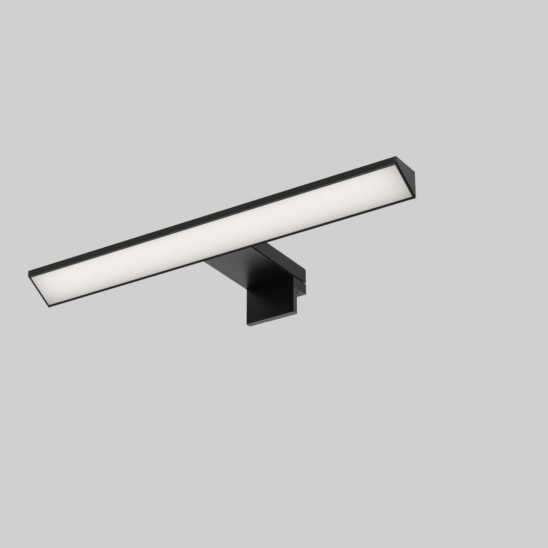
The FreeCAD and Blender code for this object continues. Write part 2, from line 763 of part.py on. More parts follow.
def make_bracket():
    """Floor plate, front plate, block over the glass, rear leg, flange and screw posts in one casting."""
    body = new_body("bracket")
    side = sketch_on(body, "YZ_Plane")
    draw_outline(
        side,
        [
            ("bar_rear", "arm_under"),
            ("front_face", "arm_under"),
            ("front_face", "front_bottom"),
            ("front_back", "front_bottom"),
            ("front_back", "roof_pad_thick"),
            ("arm_rear", "roof_pad_thick"),
            ("arm_rear", SEAM),
            ("bar_rear", SEAM),
        ],
    )
    pad(body, side, "arm_width", symmetric=True)
    inside_width = "arm_width - 2 * (shell + shell_play)"
    add_block(body, ("bar_rear", f"{REAR_WALL} - shell_play"), (SEAM, FLOOR), inside_width)
    add_block(body, ("bar_rear", "bar_rear + flange_thick"), (FLOOR, "flange_top"), "flange_width")
    add_block(body, ("leg_face", "arm_rear"), ("leg_bottom", "roof_pad_thick"), "leg_width")

    posts = sketch_on(body, "XY_Plane", FLOOR)
    for way in SIDES:
        across = centred(f"{way} * casing_screw_side", "2 * post_half")
        draw_rectangle(posts, across, ("post_front", f"{REAR_WALL} - shell_play"))
    pad(body, posts, f"post_top - {FLOOR}")
    clamp_posts = sketch_on(body, "XY_Plane", FLOOR)
    for near_x, far_x in (("clamp_inner", "clamp_outer"), ("-clamp_outer", "-clamp_inner")):
        draw_rectangle(clamp_posts, (near_x, far_x), ("clamp_front", "clamp_back"))
    pad(body, clamp_posts, f"clamp_seat - {FLOOR}")

    recess = sketch_on(body, "XZ_Plane", "-front_back")
    draw_rectangle(recess, ("-pad_side", "pad_side"), ("pad_low", "pad_high"))
    pocket(body, recess, "pad_recess", backwards=True)
    thread = sketch_on(body, "XZ_Plane", "-arm_rear")
    draw_circle(thread, ("0", "screw_height"), "screw_radius + thread_play")
    pocket(body, thread, "arm_rear - leg_face + cut_margin", backwards=True)
    flange_holes = sketch_on(body, "XZ_Plane", "-(bar_rear + flange_thick)")
    for way in SIDES:
        draw_circle(flange_holes, (f"{way} * bar_screw_side", "bar_screw_height"), "shank_clear")
        draw_circle(flange_holes, (f"{way} * lead_side", "bar_bottom + lead_height"), "grommet_flange")
    pocket(body, flange_holes, "flange_thick", backwards=True)
    post_holes = sketch_on(body, "XZ_Plane", f"-({REAR_WALL} - shell_play)")
    for way in SIDES:
        draw_circle(post_holes, (f"{way} * casing_screw_side", "casing_screw_height"), "shank_hole")
    pocket(body, post_holes, "casing_screw_length - shell_top + cut_margin", backwards=True)
    clamp_holes = sketch_on(body, "XY_Plane", "clamp_seat")
    for way in SIDES:
        draw_circle(clamp_holes, (f"{way} * clamp_screw_side", CLAMP_MIDDLE), "small_hole")
    pocket(body, clamp_holes, "clamp_hole_depth")
    dress(body, "Fillet", "front_round", on_front_plate_edge)
    return body


def add_block(body, y, z, width):
    """A block between pairs of Y and Z expressions, centred on X."""
    outline = sketch_on(body, "YZ_Plane")
    draw_rectangle(outline, y, z)
    pad(body, outline, width, symmetric=True)


def draw_rectangle(sketch, x, y):
    """A rectangle between pairs of expressions."""
    draw_outline(sketch, [(x[0], y[0]), (x[1], y[0]), (x[1], y[1]), (x[0], y[1])])


def on_front_plate_edge(middle, along):
    """True on the front plate's lower and side edges, seen from the front."""
    low = near(middle.z, size_of("front_bottom")) and near(abs(along.x), 1)
    upright = near(abs(middle.x), size_of("arm_width / 2")) and near(abs(along.z), 1)
    faces = near(middle.y, size_of("front_face")) or near(middle.y, size_of("front_back"))
    return (low or upright) and faces


def make_casing():
    """Channel with a rear wall that covers the bracket from above."""
    body = new_body("arm_casing")
    outer = sketch_on(body, "YZ_Plane")
    draw_rectangle(outer, ("bar_rear", "arm_rear"), (CASING_BOTTOM, "arm_top"))
    pad(body, outer, "arm_width", symmetric=True)
    half = size_of("arm_width / 2")
    top = size_of("arm_top")
    rear = size_of("arm_rear")
    dress(
        body,
        "Fillet",
        "casing_rear_round",
        lambda middle, along: near(middle.y, rear) and near(middle.z, top),
    )
    dress(
        body,
        "Fillet",
        "casing_round",
        lambda middle, along: near(middle.z, top) and near(abs(middle.x), half) and near(abs(along.y), 1),
    )
    hollow = sketch_on(body, "YZ_Plane")
    inside_height = (f"{CASING_BOTTOM} - cut_margin", "arm_top - shell_top")
    draw_rectangle(hollow, ("bar_rear - cut_margin", REAR_WALL), inside_height)
    pocket(body, hollow, "arm_width - 2 * shell", symmetric=True)
    outlet = sketch_on(body, "XZ_Plane", "-arm_rear")
    draw_circle(outlet, ("0", "outlet_height"), "outlet_hole")
    for way in SIDES:
        draw_circle(outlet, (f"{way} * casing_screw_side", "casing_screw_height"), "shank_clear")
    pocket(body, outlet, "shell_top + cut_margin", backwards=True)
    return body


def countersink(casing_body):
    """Seats for the casing screws in the rear wall."""
    depth = "(sunk_head - shank_clear)"
    seats = [
        cone(
            "Y",
            (f"{way} * casing_screw_side", f"arm_rear - {depth}", "casing_screw_height"),
            "shank_clear",
            "sunk_head + hair",
            f"{depth} + hair",
        )
        for way in SIDES
    ]
    return cut(casing_body, seats, "countersunk_casing")


def make_bar_screws():
    """Pan-head screws from the flange into the bar's rear wall."""
    screws = []
    for way in SIDES:
        x, z = f"{way} * bar_screw_side", "bar_screw_height"
        seat = "bar_rear + flange_thick"
        tip = (x, f"{seat} - bar_screw_length", z)
        shank = rod("Y", tip, "shank", "bar_screw_length + pan_thick / 2")
        head = rod("Y", (x, seat, z), "pan_head", "pan_thick")
        recess = cross_recess("Y", f"{seat} + pan_thick", (x, z), -1)
        screws.append(cut(fuse([shank, head]), recess))
    subpart(group(screws), "bar_screws")


def make_casing_screws():
    """Countersunk screws from the rear wall into the bracket's posts."""
    screws = []
    for way in SIDES:
        x, z = f"{way} * casing_screw_side", "casing_screw_height"
        sink = "(sunk_head - shank)"
        tip = (x, "arm_rear - casing_screw_length", z)
        shank = rod("Y", tip, "shank", f"casing_screw_length - {sink} / 2")
        head = cone("Y", (x, f"arm_rear - {sink}", z), "shank", "sunk_head", sink)
        recess = cross_recess("Y", "arm_rear", (x, z), -1)
        screws.append(cut(fuse([shank, head]), recess))
    subpart(group(screws), "casing_screws")


def make_cord_parts():
    """Grommet in the rear wall, clamp bar on its posts, and the clamp's screws."""
    z = "outlet_height"
    start = ("0", f"{REAR_WALL} - outlet_lip", z)
    before = ("0", f"{REAR_WALL} - outlet_lip - cut_margin", z)
    length = "shell_top + 2 * outlet_lip"
    inner = rod("Y", start, "outlet_inner", "outlet_lip")
    neck = rod("Y", start, "outlet_neck", length)
    outer = rod("Y", ("0", "arm_rear", z), "outlet_flange", "outlet_lip")
    bore = rod("Y", before, "outlet_bore", f"{length} + 2 * cut_margin")
    subpart(cut(fuse([inner, neck, outer]), [bore]), "cord_grommet")

    top = "clamp_seat + clamp_thick"
    bar = box(("-clamp_outer", "clamp_outer"), ("clamp_front", "clamp_back"), ("clamp_seat", top))
    holes = []
    screws = []
    for way in SIDES:
        x = f"{way} * clamp_screw_side"
        under = (x, CLAMP_MIDDLE, "clamp_seat - cut_margin")
        holes.append(rod("Z", under, "small_clear", "clamp_thick + 2 * cut_margin"))
        screws.append(small_screw(x, CLAMP_MIDDLE, top, "clamp_screw_length"))
    subpart(cut(bar, holes), "cord_clamp")
    subpart(group(screws), "cord_clamp_screws")


def small_screw(x, y, seat, length):
    """An M2 pan-head screw that points down from its seat."""
    shank = rod("Z", (x, y, f"{seat} - {length}"), "small_shank", f"{length} + small_head_thick / 2")
    head = rod("Z", (x, y, seat), "small_head", "small_head_thick")
    slot = box(
        centred(x, "2 * (small_head + cut_margin)"),
        centred(y, "slot_width"),
        (f"{seat} + small_head_thick / 2", f"{seat} + small_head_thick + cut_margin"),
    )
    return cut(fuse([shank, head]), [slot])


# ---------------------------------------------------------------- driver


def driver_screw_places():
    """Centres of the driver board's two screws, on a diagonal."""
    return [
        ("-driver_side + driver_screw_inset", "driver_front + driver_screw_inset"),
        ("driver_side - driver_screw_inset", "driver_back - driver_screw_inset"),
    ]


def make_tray():
    """Insulating tray with two spacers that the board is screwed to."""
    outer = box(("-tray_side", "tray_side"), ("tray_front", "tray_back"), (FLOOR, "tray_top"))
    hollow = box(
        centred("0", "2 * (tray_side - tray_thick)"),
        ("tray_front - cut_margin", "tray_back + cut_margin"),
        (f"{FLOOR} + tray_thick", "tray_top + cut_margin"),
    )
    shell = cut(outer, [hollow])
    height = "tray_thick + spacer_height"
    spacers = []
    holes = []
    for x, y in driver_screw_places():
        spacers.append(rod("Z", (x, y, FLOOR), "spacer_radius", height))
        holes.append(rod("Z", (x, y, f"{FLOOR} + tray_thick / 2"), "small_hole", height))
    subpart(cut(fuse([shell] + spacers), holes), "driver_tray")


def make_driver():
    """Driver board with its screws and its larger components."""
    sides = ("-driver_side", "driver_side")
    plate = box(sides, ("driver_front", "driver_back"), (BOARD_UNDER, BOARD_TOP))
    holes = []
    screws = []
    for x, y in driver_screw_places():
        under = (x, y, f"{BOARD_UNDER} - cut_margin")
        holes.append(rod("Z", under, "small_clear", "driver_thick + 2 * cut_margin"))
        screws.append(small_screw(x, y, BOARD_TOP, "driver_screw_length"))
    subpart(cut(plate, holes), "driver_board")
    subpart(group(screws), "driver_screws")

    core = board_box("transformer_x", "transformer_y", "core_width", "core_depth", "core_height")
    bobbin = board_box("transformer_x", "transformer_y", "bobbin_width", "bobbin_depth", "bobbin_height")
    subpart(fuse([core, bobbin]), "driver_transformer")
    cans = [
        rod("X", (start, "can_y", f"{BOARD_TOP} + can_radius"), "can_radius", "can_length")
        for start in ("can_left", "can_right")
    ]
    subpart(group(cans), "driver_capacitors")
    waist = "drum_height - 2 * drum_rim"
    above_rim = ("drum_x", "drum_y", f"{BOARD_TOP} + drum_rim")
    drum = rod("Z", ("drum_x", "drum_y", BOARD_TOP), "drum_radius", "drum_height")
    sleeve = rod("Z", above_rim, "drum_radius + cut_margin", waist)
    core_rod = rod("Z", ("drum_x", "drum_y", BOARD_TOP), "drum_core", "drum_height")
    subpart(cut(drum, [cut(sleeve, [core_rod])]), "driver_choke")
    switch = board_box("switch_x", "moulded_y", "switch_width", "moulded_depth", "switch_thick")
    rectifier = board_box("rectifier_x", "moulded_y", "rectifier_width", "moulded_depth", "rectifier_thick")
    subpart(group([switch, rectifier]), "driver_chips")


def board_box(x, y, width, depth, height):
    """A box on the driver board, centred at x, y."""
    return box(centred(x, width), centred(y, depth), (BOARD_TOP, f"{BOARD_TOP} + {height}"))


def make_terminal():
    """Two-pole terminal block, its clamping screws, and the short leads to the driver."""
    sides = ("-terminal_side", "terminal_side")
    height = (f"{FLOOR} + tray_thick", "terminal_top")
    block = box(sides, ("terminal_front", "terminal_back"), height)
    middle = "(terminal_front + terminal_back) / 2"
    entry = "terminal_entry_depth + cut_margin"
    well = "terminal_top - terminal_well"
    screw_top = f"{well} + hair + terminal_screw_height"
    cuts = []
    screws = []
    for way in SIDES:
        x = f"{way} * terminal_pole"
        front = (x, "terminal_front - cut_margin", LEAD_ON_BOARD)
        back = (x, "terminal_back - terminal_entry_depth", LEAD_ON_BOARD)
        cuts.append(rod("Y", front, "terminal_entry", entry))
        cuts.append(rod("Y", back, "terminal_entry", entry))
        cuts.append(rod("Z", (x, middle, well), "terminal_screw + well_play", "terminal_well + cut_margin"))
        barrel = rod("Z", (x, middle, f"{well} + hair"), "terminal_screw", "terminal_screw_height")
        slot = box(
            centred(x, "2 * (terminal_screw + cut_margin)"),
            centred(middle, "slot_width"),
            (f"{screw_top} - small_head_thick / 2", f"{screw_top} + cut_margin"),
        )
        screws.append(cut(barrel, [slot]))
    subpart(cut(block, cuts), "terminal_block")
    subpart(group(screws), "terminal_screws")
    length = "terminal_front - driver_back + mains_on_board + mains_in_terminal"
    for way, name in zip(SIDES, ("mains_lead_live", "mains_lead_neutral")):
        start = (f"{way} * terminal_pole", "driver_back - mains_on_board", f"{LEAD_ON_BOARD} + hair")
        subpart(rod("Y", start, "lead_radius", length), name)


# ---------------------------------------------------------------- mirror clamp


def make_pads():
    """Pads that the glass touches on the fixed side."""
    across = centred("0", "2 * (pad_side - pad_play)")
    height = ("pad_low + pad_play", "pad_high - pad_play")
    front = box(across, ("front_back - pad_recess", "0"), height)
    subpart(round_edges(front, "pad_round", lambda middle, along: near(middle.y, 0)), "front_pad")
    roof = box(
        ("-pad_side", "pad_side"),
        ("roof_pad_margin", "slot_rest - roof_pad_margin"),
        ("0", "roof_pad_thick"),
    )
    subpart(roof, "roof_pad")


def make_jaw():
    """Rear jaw: steel plate with the screw's riveted nose, and a soft pad on its face."""
    plate = box(centred("0", "jaw_width"), (JAW_FACE, JAW_BACK), ("jaw_low", "jaw_high"))
    corners = round_edges(plate, "jaw_round", along_y)
    before = ("0", f"{JAW_FACE} - cut_margin", "screw_height")
    tools = [
        rod("Y", before, "nose_radius + thread_play", "jaw_thick + 2 * cut_margin"),
        rod("Y", before, "nose_head + thread_play", "nose_sink + cut_margin"),
    ]
    subpart(cut(corners, tools), "jaw_plate")
    pad_block = box(
        centred("0", "jaw_width - 2 * jaw_pad_inset"),
        ("slot_rest", JAW_FACE),
        ("jaw_low + jaw_pad_inset", "jaw_high - jaw_pad_inset"),
    )
    subpart(round_edges(pad_block, "jaw_pad_round", along_y), "jaw_pad")


def along_y(middle, along):
    """True for edges that run along Y."""
    return near(abs(along.y), 1)


def make_clamp_screw():
    """Set screw turned about its own axis: nose, riveted end, thread and hexagon socket."""
    body = new_body("clamp_screw")
    profile = sketch_on(body, "YZ_Plane")
    axis = "screw_height"
    tip = f"{JAW_FACE} + screw_step"
    shoulder = f"{JAW_BACK} + screw_step"
    end = f"{shoulder} + screw_length"
    rivet = f"{JAW_FACE} + nose_sink - screw_step"
    draw_outline(
        profile,
        [
            (tip, axis),
            (tip, f"{axis} + nose_head"),
            (rivet, f"{axis} + nose_head"),
            (rivet, f"{axis} + nose_radius"),
            (shoulder, f"{axis} + nose_radius"),
            (shoulder, f"{axis} + screw_radius - screw_lead_in"),
            (f"{shoulder} + screw_lead_in", f"{axis} + screw_radius"),
            (f"{end} - screw_end_chamfer", f"{axis} + screw_radius"),
            (end, f"{axis} + screw_radius - screw_end_chamfer"),
            (end, axis),
        ],
    )
    turned = body.newObject("PartDesign::Revolution", "turned")
    turned.Profile = profile
    turned.ReferenceAxis = (profile, ["Edge10"])
    turned.Angle = 360
    finish_step(body, turned, grows=True)
    socket = sketch_on(body, "XZ_Plane", f"-({end})")
    corners = []
    for index in range(HEX_SIDES):
        angle = math.tau * index / HEX_SIDES
        across, up = math.cos(angle), math.sin(angle)
        corners.append((f"hex_radius * {across:.6f}", f"{axis} + hex_radius * {up:.6f}"))
    draw_outline(socket, corners)
    pocket(body, socket, "hex_depth", backwards=True)
    return body


# ---------------------------------------------------------------- assembly


def replace_subpart(old, new, name):
    """Lets a later cut stand for the body that it was made from."""
    subparts.remove(old)
    old.Label = name + "_body"
    subpart(new, name)


def check_document():
    """Stops if any object failed or any sub-part has no valid shape."""
    doc.recompute()
    for feature in doc.Objects:
        if "Invalid" in feature.State or "Error" in feature.State:
            raise ValueError(f"{feature.Label} failed: {feature.State}")
    for feature in subparts:
        if feature.Shape.isNull() or not feature.Shape.isValid():
            raise ValueError(f"{feature.Label} has no valid shape")


def write_parts():
    """One STEP file for each sub-part."""
    os.makedirs("parts", exist_ok=True)
    for feature in subparts:
        feature.Shape.exportStep(f"parts/{feature.Label}.step")
        print(f"{feature.Label}: {len(feature.Shape.Solids)} solid(s), {feature.Shape.Volume:.1f} mm3")


profile_body = make_bar_profile()
replace_subpart(profile_body, drill_web(profile_body), "bar_profile")
mirrored(make_end_cap(), "end_cap_left")
mirrored(make_gasket(), "end_gasket_left")
make_light_source()
make_lead(-1, "lead_negative")
make_lead(1, "lead_positive")
make_lead_grommets()
make_bracket()
casing_body = make_casing()
replace_subpart(casing_body, countersink(casing_body), "arm_casing")
make_bar_screws()
make_casing_screws()
make_cord_parts()
make_tray()
make_driver()
make_terminal()
make_pads()
make_jaw()
make_clamp_screw()
check_document()
write_parts()
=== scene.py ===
"""Looks of the clip-on picture light: finishes, fine pieces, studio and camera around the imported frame.

Fine pieces are drawn in millimetres in a local frame and placed by the boxes of the CAD nodes.
"""

import json
import math

import bmesh
import bpy
from mathutils import Matrix, Vector


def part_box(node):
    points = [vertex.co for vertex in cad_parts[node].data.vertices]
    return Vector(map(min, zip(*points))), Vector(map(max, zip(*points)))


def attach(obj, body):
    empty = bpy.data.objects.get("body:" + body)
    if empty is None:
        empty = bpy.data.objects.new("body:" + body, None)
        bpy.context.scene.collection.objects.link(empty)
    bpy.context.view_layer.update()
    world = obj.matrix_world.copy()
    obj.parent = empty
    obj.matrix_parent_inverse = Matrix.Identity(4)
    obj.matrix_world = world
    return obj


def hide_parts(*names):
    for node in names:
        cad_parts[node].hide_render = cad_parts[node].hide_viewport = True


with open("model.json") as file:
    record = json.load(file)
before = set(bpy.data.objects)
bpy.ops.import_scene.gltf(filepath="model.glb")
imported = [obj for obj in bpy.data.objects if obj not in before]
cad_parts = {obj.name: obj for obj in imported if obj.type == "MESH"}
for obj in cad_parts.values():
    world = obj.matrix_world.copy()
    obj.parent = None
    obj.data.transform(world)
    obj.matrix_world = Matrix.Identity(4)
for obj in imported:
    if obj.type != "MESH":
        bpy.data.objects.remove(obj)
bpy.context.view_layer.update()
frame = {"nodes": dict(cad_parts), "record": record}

MM = 0.001
X_AXIS = Vector((1, 0, 0))
Y_AXIS = Vector((0, 1, 0))
Z_AXIS = Vector((0, 0, 1))
SIDES = (-1, 1)
SMOOTH_ANGLE = math.radians(40)


# ---------------------------------------------------------------- studio

# Places and sizes in metres, turns in degrees, powers in watts.

CAMERA_PLACE = (0.64016, -0.98124, -0.55863)
CAMERA_RISE = 26.165
CAMERA_TURN = 33.107
CAMERA_LENS = 121.894
CAMERA_SENSOR = 36.0
FLOOR_HEIGHT = -1.2
FLOOR_SIZE = 60.0
FLOOR_GREY = 0.75
AIR_COLOUR = (0.63, 0.63, 0.635, 1)
GLOW_TINT = (1.02, 1.0, 0.97, 1)
ROOM_GLOW = 0.7
WALL_GLOW = 0.38
ROOM_SIDE = -1.0
WALL_SIDE = 0.9
LAMP_AIM = (0, 0, 0)
OVERHEAD_PLACE = (0.3, 0.5, 1.7)
OVERHEAD_SIZE = 2.9
OVERHEAD_WATTS = 28.0
BOUNCE_PLACE = (-0.9, 0.9, -1.0)
BOUNCE_SIZE = 0.9
BOUNCE_WATTS = 3.4
FLAG_PLACE = (0.63, 0.0, -0.33)
FLAG_AIM = (0.15, -0.08, 0.01)
FLAG_SIZE = 0.5
FLAG_GREY = 0.002


def make_camera():
    """Long lens, low and to the right of the light."""
    data = bpy.data.cameras.new("camera")
    data.sensor_width = CAMERA_SENSOR
    data.lens = CAMERA_LENS
    data.clip_start = 0.05
    data.clip_end = 50.0
    camera = bpy.data.objects.new("camera", data)
    camera.location = CAMERA_PLACE
    camera.rotation_euler = (math.radians(90 + CAMERA_RISE), 0, math.radians(CAMERA_TURN))
    bpy.context.scene.collection.objects.link(camera)
    bpy.context.scene.camera = camera
    bpy.context.scene.view_settings.view_transform = "Standard"


def make_world():
    """Even pale air; the light that it gives is stronger from the room's side than from the wall's."""
    world = bpy.data.worlds.new("studio")
    bpy.context.scene.world = world
    world.use_nodes = True
    nodes, links = world.node_tree.nodes, world.node_tree.links
    nodes.clear()
    output = nodes.new("ShaderNodeOutputWorld")
    air = nodes.new("ShaderNodeBackground")
    air.inputs["Color"].default_value = AIR_COLOUR
    glow = nodes.new("ShaderNodeBackground")
    glow.inputs["Color"].default_value = GLOW_TINT
    direction = nodes.new("ShaderNodeTexCoord")
    split = nodes.new("ShaderNodeSeparateXYZ")
    shade = nodes.new("ShaderNodeMapRange")
    shade.interpolation_type = "SMOOTHSTEP"
    shade.inputs["From Min"].default_value = ROOM_SIDE
    shade.inputs["From Max"].default_value = WALL_SIDE
    shade.inputs["To Min"].default_value = ROOM_GLOW
    shade.inputs["To Max"].default_value = WALL_GLOW
    path = nodes.new("ShaderNodeLightPath")
    mix = nodes.new("ShaderNodeMixShader")
    links.new(direction.outputs["Generated"], split.inputs[0])
    links.new(split.outputs["Y"], shade.inputs["Value"])
    links.new(shade.outputs[0], glow.inputs["Strength"])
    links.new(path.outputs["Is Camera Ray"], mix.inputs[0])
    links.new(glow.outputs[0], mix.inputs[1])
    links.new(air.outputs[0], mix.inputs[2])
    links.new(mix.outputs[0], output.inputs["Surface"])


def make_square(name, size, height=0.0):
    """A level square at a height, with the Z axis through its middle."""
    half = size / 2
    corners = [(x * half, y * half, height) for x, y in ((-1, -1), (1, -1), (1, 1), (-1, 1))]
    mesh = bpy.data.meshes.new(name)
    mesh.from_pydata(corners, [], [(0, 1, 2, 3)])
    square = bpy.data.objects.new(name, mesh)
    bpy.context.scene.collection.objects.link(square)
    return square


def plain_finish(name, grey, roughness, specular):
    """One grey all over."""
    finish = bpy.data.materials.new(name)
    finish.use_nodes = True
    shader = finish.node_tree.nodes["Principled BSDF"]
    shader.inputs["Base Color"].default_value = (grey, grey, grey, 1)
    shader.inputs["Roughness"].default_value = roughness
    shader.inputs["Specular IOR Level"].default_value = specular
    return finish


def look_at(place, aim, face):
    """Turn of an object whose face looks from one place at another."""
    return (Vector(aim) - Vector(place)).to_track_quat(face, "Y").to_euler()


def make_floor():
    """Plain pale floor well under the light."""
    floor = make_square("floor", FLOOR_SIZE, FLOOR_HEIGHT)
    floor.data.materials.append(plain_finish("floor_paint", FLOOR_GREY, 0.9, 0.5))


def make_lamp(name, place, size, watts):
    """A soft square lamp that the camera doesn't see."""
    data = bpy.data.lights.new(name, "AREA")
    data.shape = "SQUARE"
    data.size = size
    data.energy = watts
    lamp = bpy.data.objects.new(name, data)
    lamp.location = place
    lamp.rotation_euler = look_at(place, LAMP_AIM, "-Z")
    lamp.visible_camera = False
    bpy.context.scene.collection.objects.link(lamp)


def make_flag():
    """A black card to the right of the light and below it that only reflections see."""
    flag = make_square("flag", FLAG_SIZE)
    flag.location = FLAG_PLACE
    flag.rotation_euler = look_at(FLAG_PLACE, FLAG_AIM, "Z")
    flag.visible_camera = False
    flag.data.materials.append(plain_finish("flag_cloth", FLAG_GREY, 1.0, 0.0))


def make_studio():
    """Camera, air, floor, two soft lamps and a black card."""
    make_camera()
    make_world()
    make_floor()
    make_flag()
    make_lamp("overhead", OVERHEAD_PLACE, OVERHEAD_SIZE, OVERHEAD_WATTS)
    make_lamp("bounce", BOUNCE_PLACE, BOUNCE_SIZE, BOUNCE_WATTS)


# ---------------------------------------------------------------- materials

# Sizes, depths and places in millimetres. A fall is the share of the light that is lost at an edge,
# and the distance over which the loss fades.

NOISE_LOW = 0.3
NOISE_HIGH = 0.7
FINE_DETAIL = 2.0
CLOUD_DETAIL = 3.0
NO_COLOUR = (0.0, 0.0, 0.0)

SATIN_BASE = 0.003
SATIN_GRAIN = 0.3
SATIN_DEPTH = 0.010
SATIN_SPECULAR = 0.35
SATIN_CLOUD = 14.0
RUB_WIDTH = 0.12
RUB_PATCH = 2.5
RUB_COLOUR = (0.03, 0.03, 0.031)

CAP_BASE = 0.033
CAP_GRAIN = 0.45
CAP_DEPTH = 0.012

# Painted highlight: a pale line on the mouth's upper rim, with its start, end and colour.
RIM_HIGHLIGHT_START = 0.55
RIM_HIGHLIGHT_END = 1.3
RIM_HIGHLIGHT_COLOUR = (0.11, 0.11, 0.112)

SEAM_GAP = 1.1
# The seam's lift bounds the painted shade in the seam. The rim values give a painted highlight on the
# underside's edge beside it, and the edge colour gives a painted highlight on the front plate's edges.
SEAM_SHADE_LIFT = 0.03
SEAM_HIGHLIGHT_WIDTH = 0.5
SEAM_HIGHLIGHT_COLOUR = (0.05, 0.05, 0.05)
SEAM_HIGHLIGHT_START = -28.0
SEAM_HIGHLIGHT_FULL = -45.0
PLATE_EDGE_HIGHLIGHT_COLOUR = (0.055, 0.055, 0.056)

OPAL_COLOUR = (0.3, 0.3, 0.295)
OPAL_GLOW = (1.0, 0.970, 0.940)
OPAL_STRENGTH = 0.733
OPAL_CLOUD = 30.0
LOW_EDGE_FALL = (0.5, 5.6)
HIGH_EDGE_FALL = (0.24, 2.6)
END_FALL = (0.42, 8.0)
CHIP_WAVE = 0.992


class Paint:
    """A principled material whose colour, roughness and relief come from nodes."""

    def __init__(self, name, colour, roughness, metallic=0.0, **sockets):
        self.material = bpy.data.materials.new(name)
        self.material.use_nodes = True
        self.tree = self.material.node_tree
        self.shader = self.tree.nodes["Principled BSDF"]
        self.normal = None
        self.tone = None
        self.constant("Base Color", (*colour, 1))
        self.constant("Roughness", roughness)
        self.constant("Metallic", metallic)
        for socket, value in sockets.items():
            self.constant(socket.replace("_", " "), value)

    def constant(self, socket, value):
        """A value that is the same all over the surface."""
        self.shader.inputs[socket].default_value = value

    def node(self, kind, inputs=None, **settings):
        """A new node with its settings, plain inputs and linked inputs."""
        node = self.tree.nodes.new("ShaderNode" + kind)
        for key, value in settings.items():
            setattr(node, key, value)
        for key, value in (inputs or {}).items():
            if isinstance(value, bpy.types.NodeSocket):
                self.tree.links.new(value, node.inputs[key])
            else:
                node.inputs[key].default_value = value
        return node

    def drive(self, socket, output):
        """Lets a node's output set a socket of the shader."""
        self.tree.links.new(output, self.shader.inputs[socket])

    def coat(self, share, colour):
        """Lays a colour over the base colour as far as share says."""
        self.tone = self.colours(share, self.tone, colour)
        self.drive("Base Color", self.tone)

    def dot(self, first, second):
        """How far one direction reaches along another."""
        return self.node("VectorMath", {0: first, 1: second}, operation="DOT_PRODUCT").outputs["Value"]

    def facing(self, direction):
        """How far the surface faces a direction or its opposite, from 0 to 1."""
        normal = self.node("NewGeometry").outputs["Normal"]
        return self.math("ABSOLUTE", self.dot(normal, tuple(direction)))

    def between(self, value, low, high, soft):
        """1 where a value lies between two limits, falling to 0 over soft outside them."""
        above = self.spread(value, low - soft, low)
        below = self.spread(value, high, high + soft, 1.0, 0.0)
        return self.product(above, below)

    def point(self, stretch=(1, 1, 1)):
        """The surface point in millimetres, squeezed along each axis."""
        where = self.node("TexCoord").outputs["Object"]
        scale = tuple(share / MM for share in stretch)
        return self.node("Mapping", {"Vector": where, "Scale": scale}).outputs["Vector"]

    def noise(self, size, detail=FINE_DETAIL, stretch=(1, 1, 1)):
        """Noise from 0 to 1 with patches of about size millimetres."""
        inputs = {"Vector": self.point(stretch), "Scale": 1 / size, "Detail": detail}
        return self.node("TexNoise", inputs).outputs["Fac"]

    def spread(self, value, low, high, to_low=0.0, to_high=1.0):
        """Maps a value from one range to another and holds it there."""
        inputs = {"Value": value, "From Min": low, "From Max": high, "To Min": to_low, "To Max": to_high}
        return self.node("MapRange", inputs).outputs[0]

    def unfold(self, noise, to_low=0.0, to_high=1.0):
        """Spreads the usual values of a noise over a range."""
        return self.spread(noise, NOISE_LOW, NOISE_HIGH, to_low, to_high)

    def math(self, operation, first, second=0.0):
        """One step of arithmetic on one or two values."""
        return self.node("Math", {0: first, 1: second}, operation=operation).outputs[0]

    def product(self, first, *others):
        """Several shares multiplied."""
        for other in others:
            first = self.math("MULTIPLY", first, other)
        return first

    def colours(self, share, first, second):
        """A colour between two others: inputs 6 and 7 of a Mix node are its colours."""
        node = self.node("Mix", data_type="RGBA")
        for index, value in ((0, share), (6, first), (7, second)):
            if isinstance(value, bpy.types.NodeSocket):
                self.tree.links.new(value, node.inputs[index])
            else:
                node.inputs[index].default_value = (*value, 1) if index else value
        return node.outputs[2]

    def along(self, direction):
        """How far the surface point lies along a direction, in millimetres."""
        return self.dot(self.point(), tuple(direction))

    def edges(self, width):
        """From 0 on flat faces to 1 on edges within width millimetres."""
        flat, turned = 0.995, 0.9
        bevel = self.node("Bevel", {"Radius": width * MM}, samples=6).outputs[0]
        plain = self.node("NewGeometry").outputs["Normal"]
        return self.spread(self.dot(bevel, plain), flat, turned)

    def relief(self, height, depth):
        """Adds relief of depth millimetres to the surface."""
        inputs = {"Height": height, "Distance": depth * MM, "Strength": 1.0}
        if self.normal:
            inputs["Normal"] = self.normal
        self.normal = self.node("Bump", inputs).outputs[0]
        self.drive("Normal", self.normal)


def mottled(name, dark, light, rough, patch=4.0, grain=0.3, depth=0.004, stretch=(1, 1, 1)):
    """A plain finish with clouded colour, uneven gloss and fine grain."""
    paint = Paint(name, light, rough[0])
    cloud = paint.noise(patch, CLOUD_DETAIL, stretch)
    fine = paint.noise(grain, FINE_DETAIL, stretch)
    paint.drive("Base Color", paint.colours(paint.unfold(cloud), dark, light))
    paint.drive("Roughness", paint.unfold(fine, *rough))
    paint.relief(fine, depth)
    return paint.material


def cool_black(brightness):
    """A black with a slight share of blue."""
    return (brightness, brightness, 1.08 * brightness)


def satin_black(name, base, grain, depth, rough):
    """Fine black powder coat, clouded and speckled, and a little rubbed along its edges."""
    paint = Paint(name, (base, base, base), rough[0], Specular_IOR_Level=SATIN_SPECULAR)
    cloud = paint.noise(SATIN_CLOUD, CLOUD_DETAIL)
    fine = paint.noise(grain, CLOUD_DETAIL)
    dark, light, speckle = (cool_black(share * base) for share in (0.7, 1.3, 2.2))
    paint.tone = paint.colours(paint.unfold(cloud), dark, light)
    paint.coat(paint.spread(fine, 0.62, 0.74), speckle)
    worn = paint.spread(paint.noise(RUB_PATCH), 0.5, 0.7)
    paint.coat(paint.product(paint.edges(RUB_WIDTH), worn), RUB_COLOUR)
    mixed = paint.math("ADD", paint.product(cloud, 0.5), paint.product(fine, 0.5))
    paint.drive("Roughness", paint.spread(mixed, 0.35, 0.65, *rough))
    paint.relief(fine, depth)
    return paint


def marks_along(name, direction):
    """Where a node's points lie along a direction, in millimetres."""
    return [direction.dot(vertex.co) / MM for vertex in frame["nodes"][name].data.vertices]


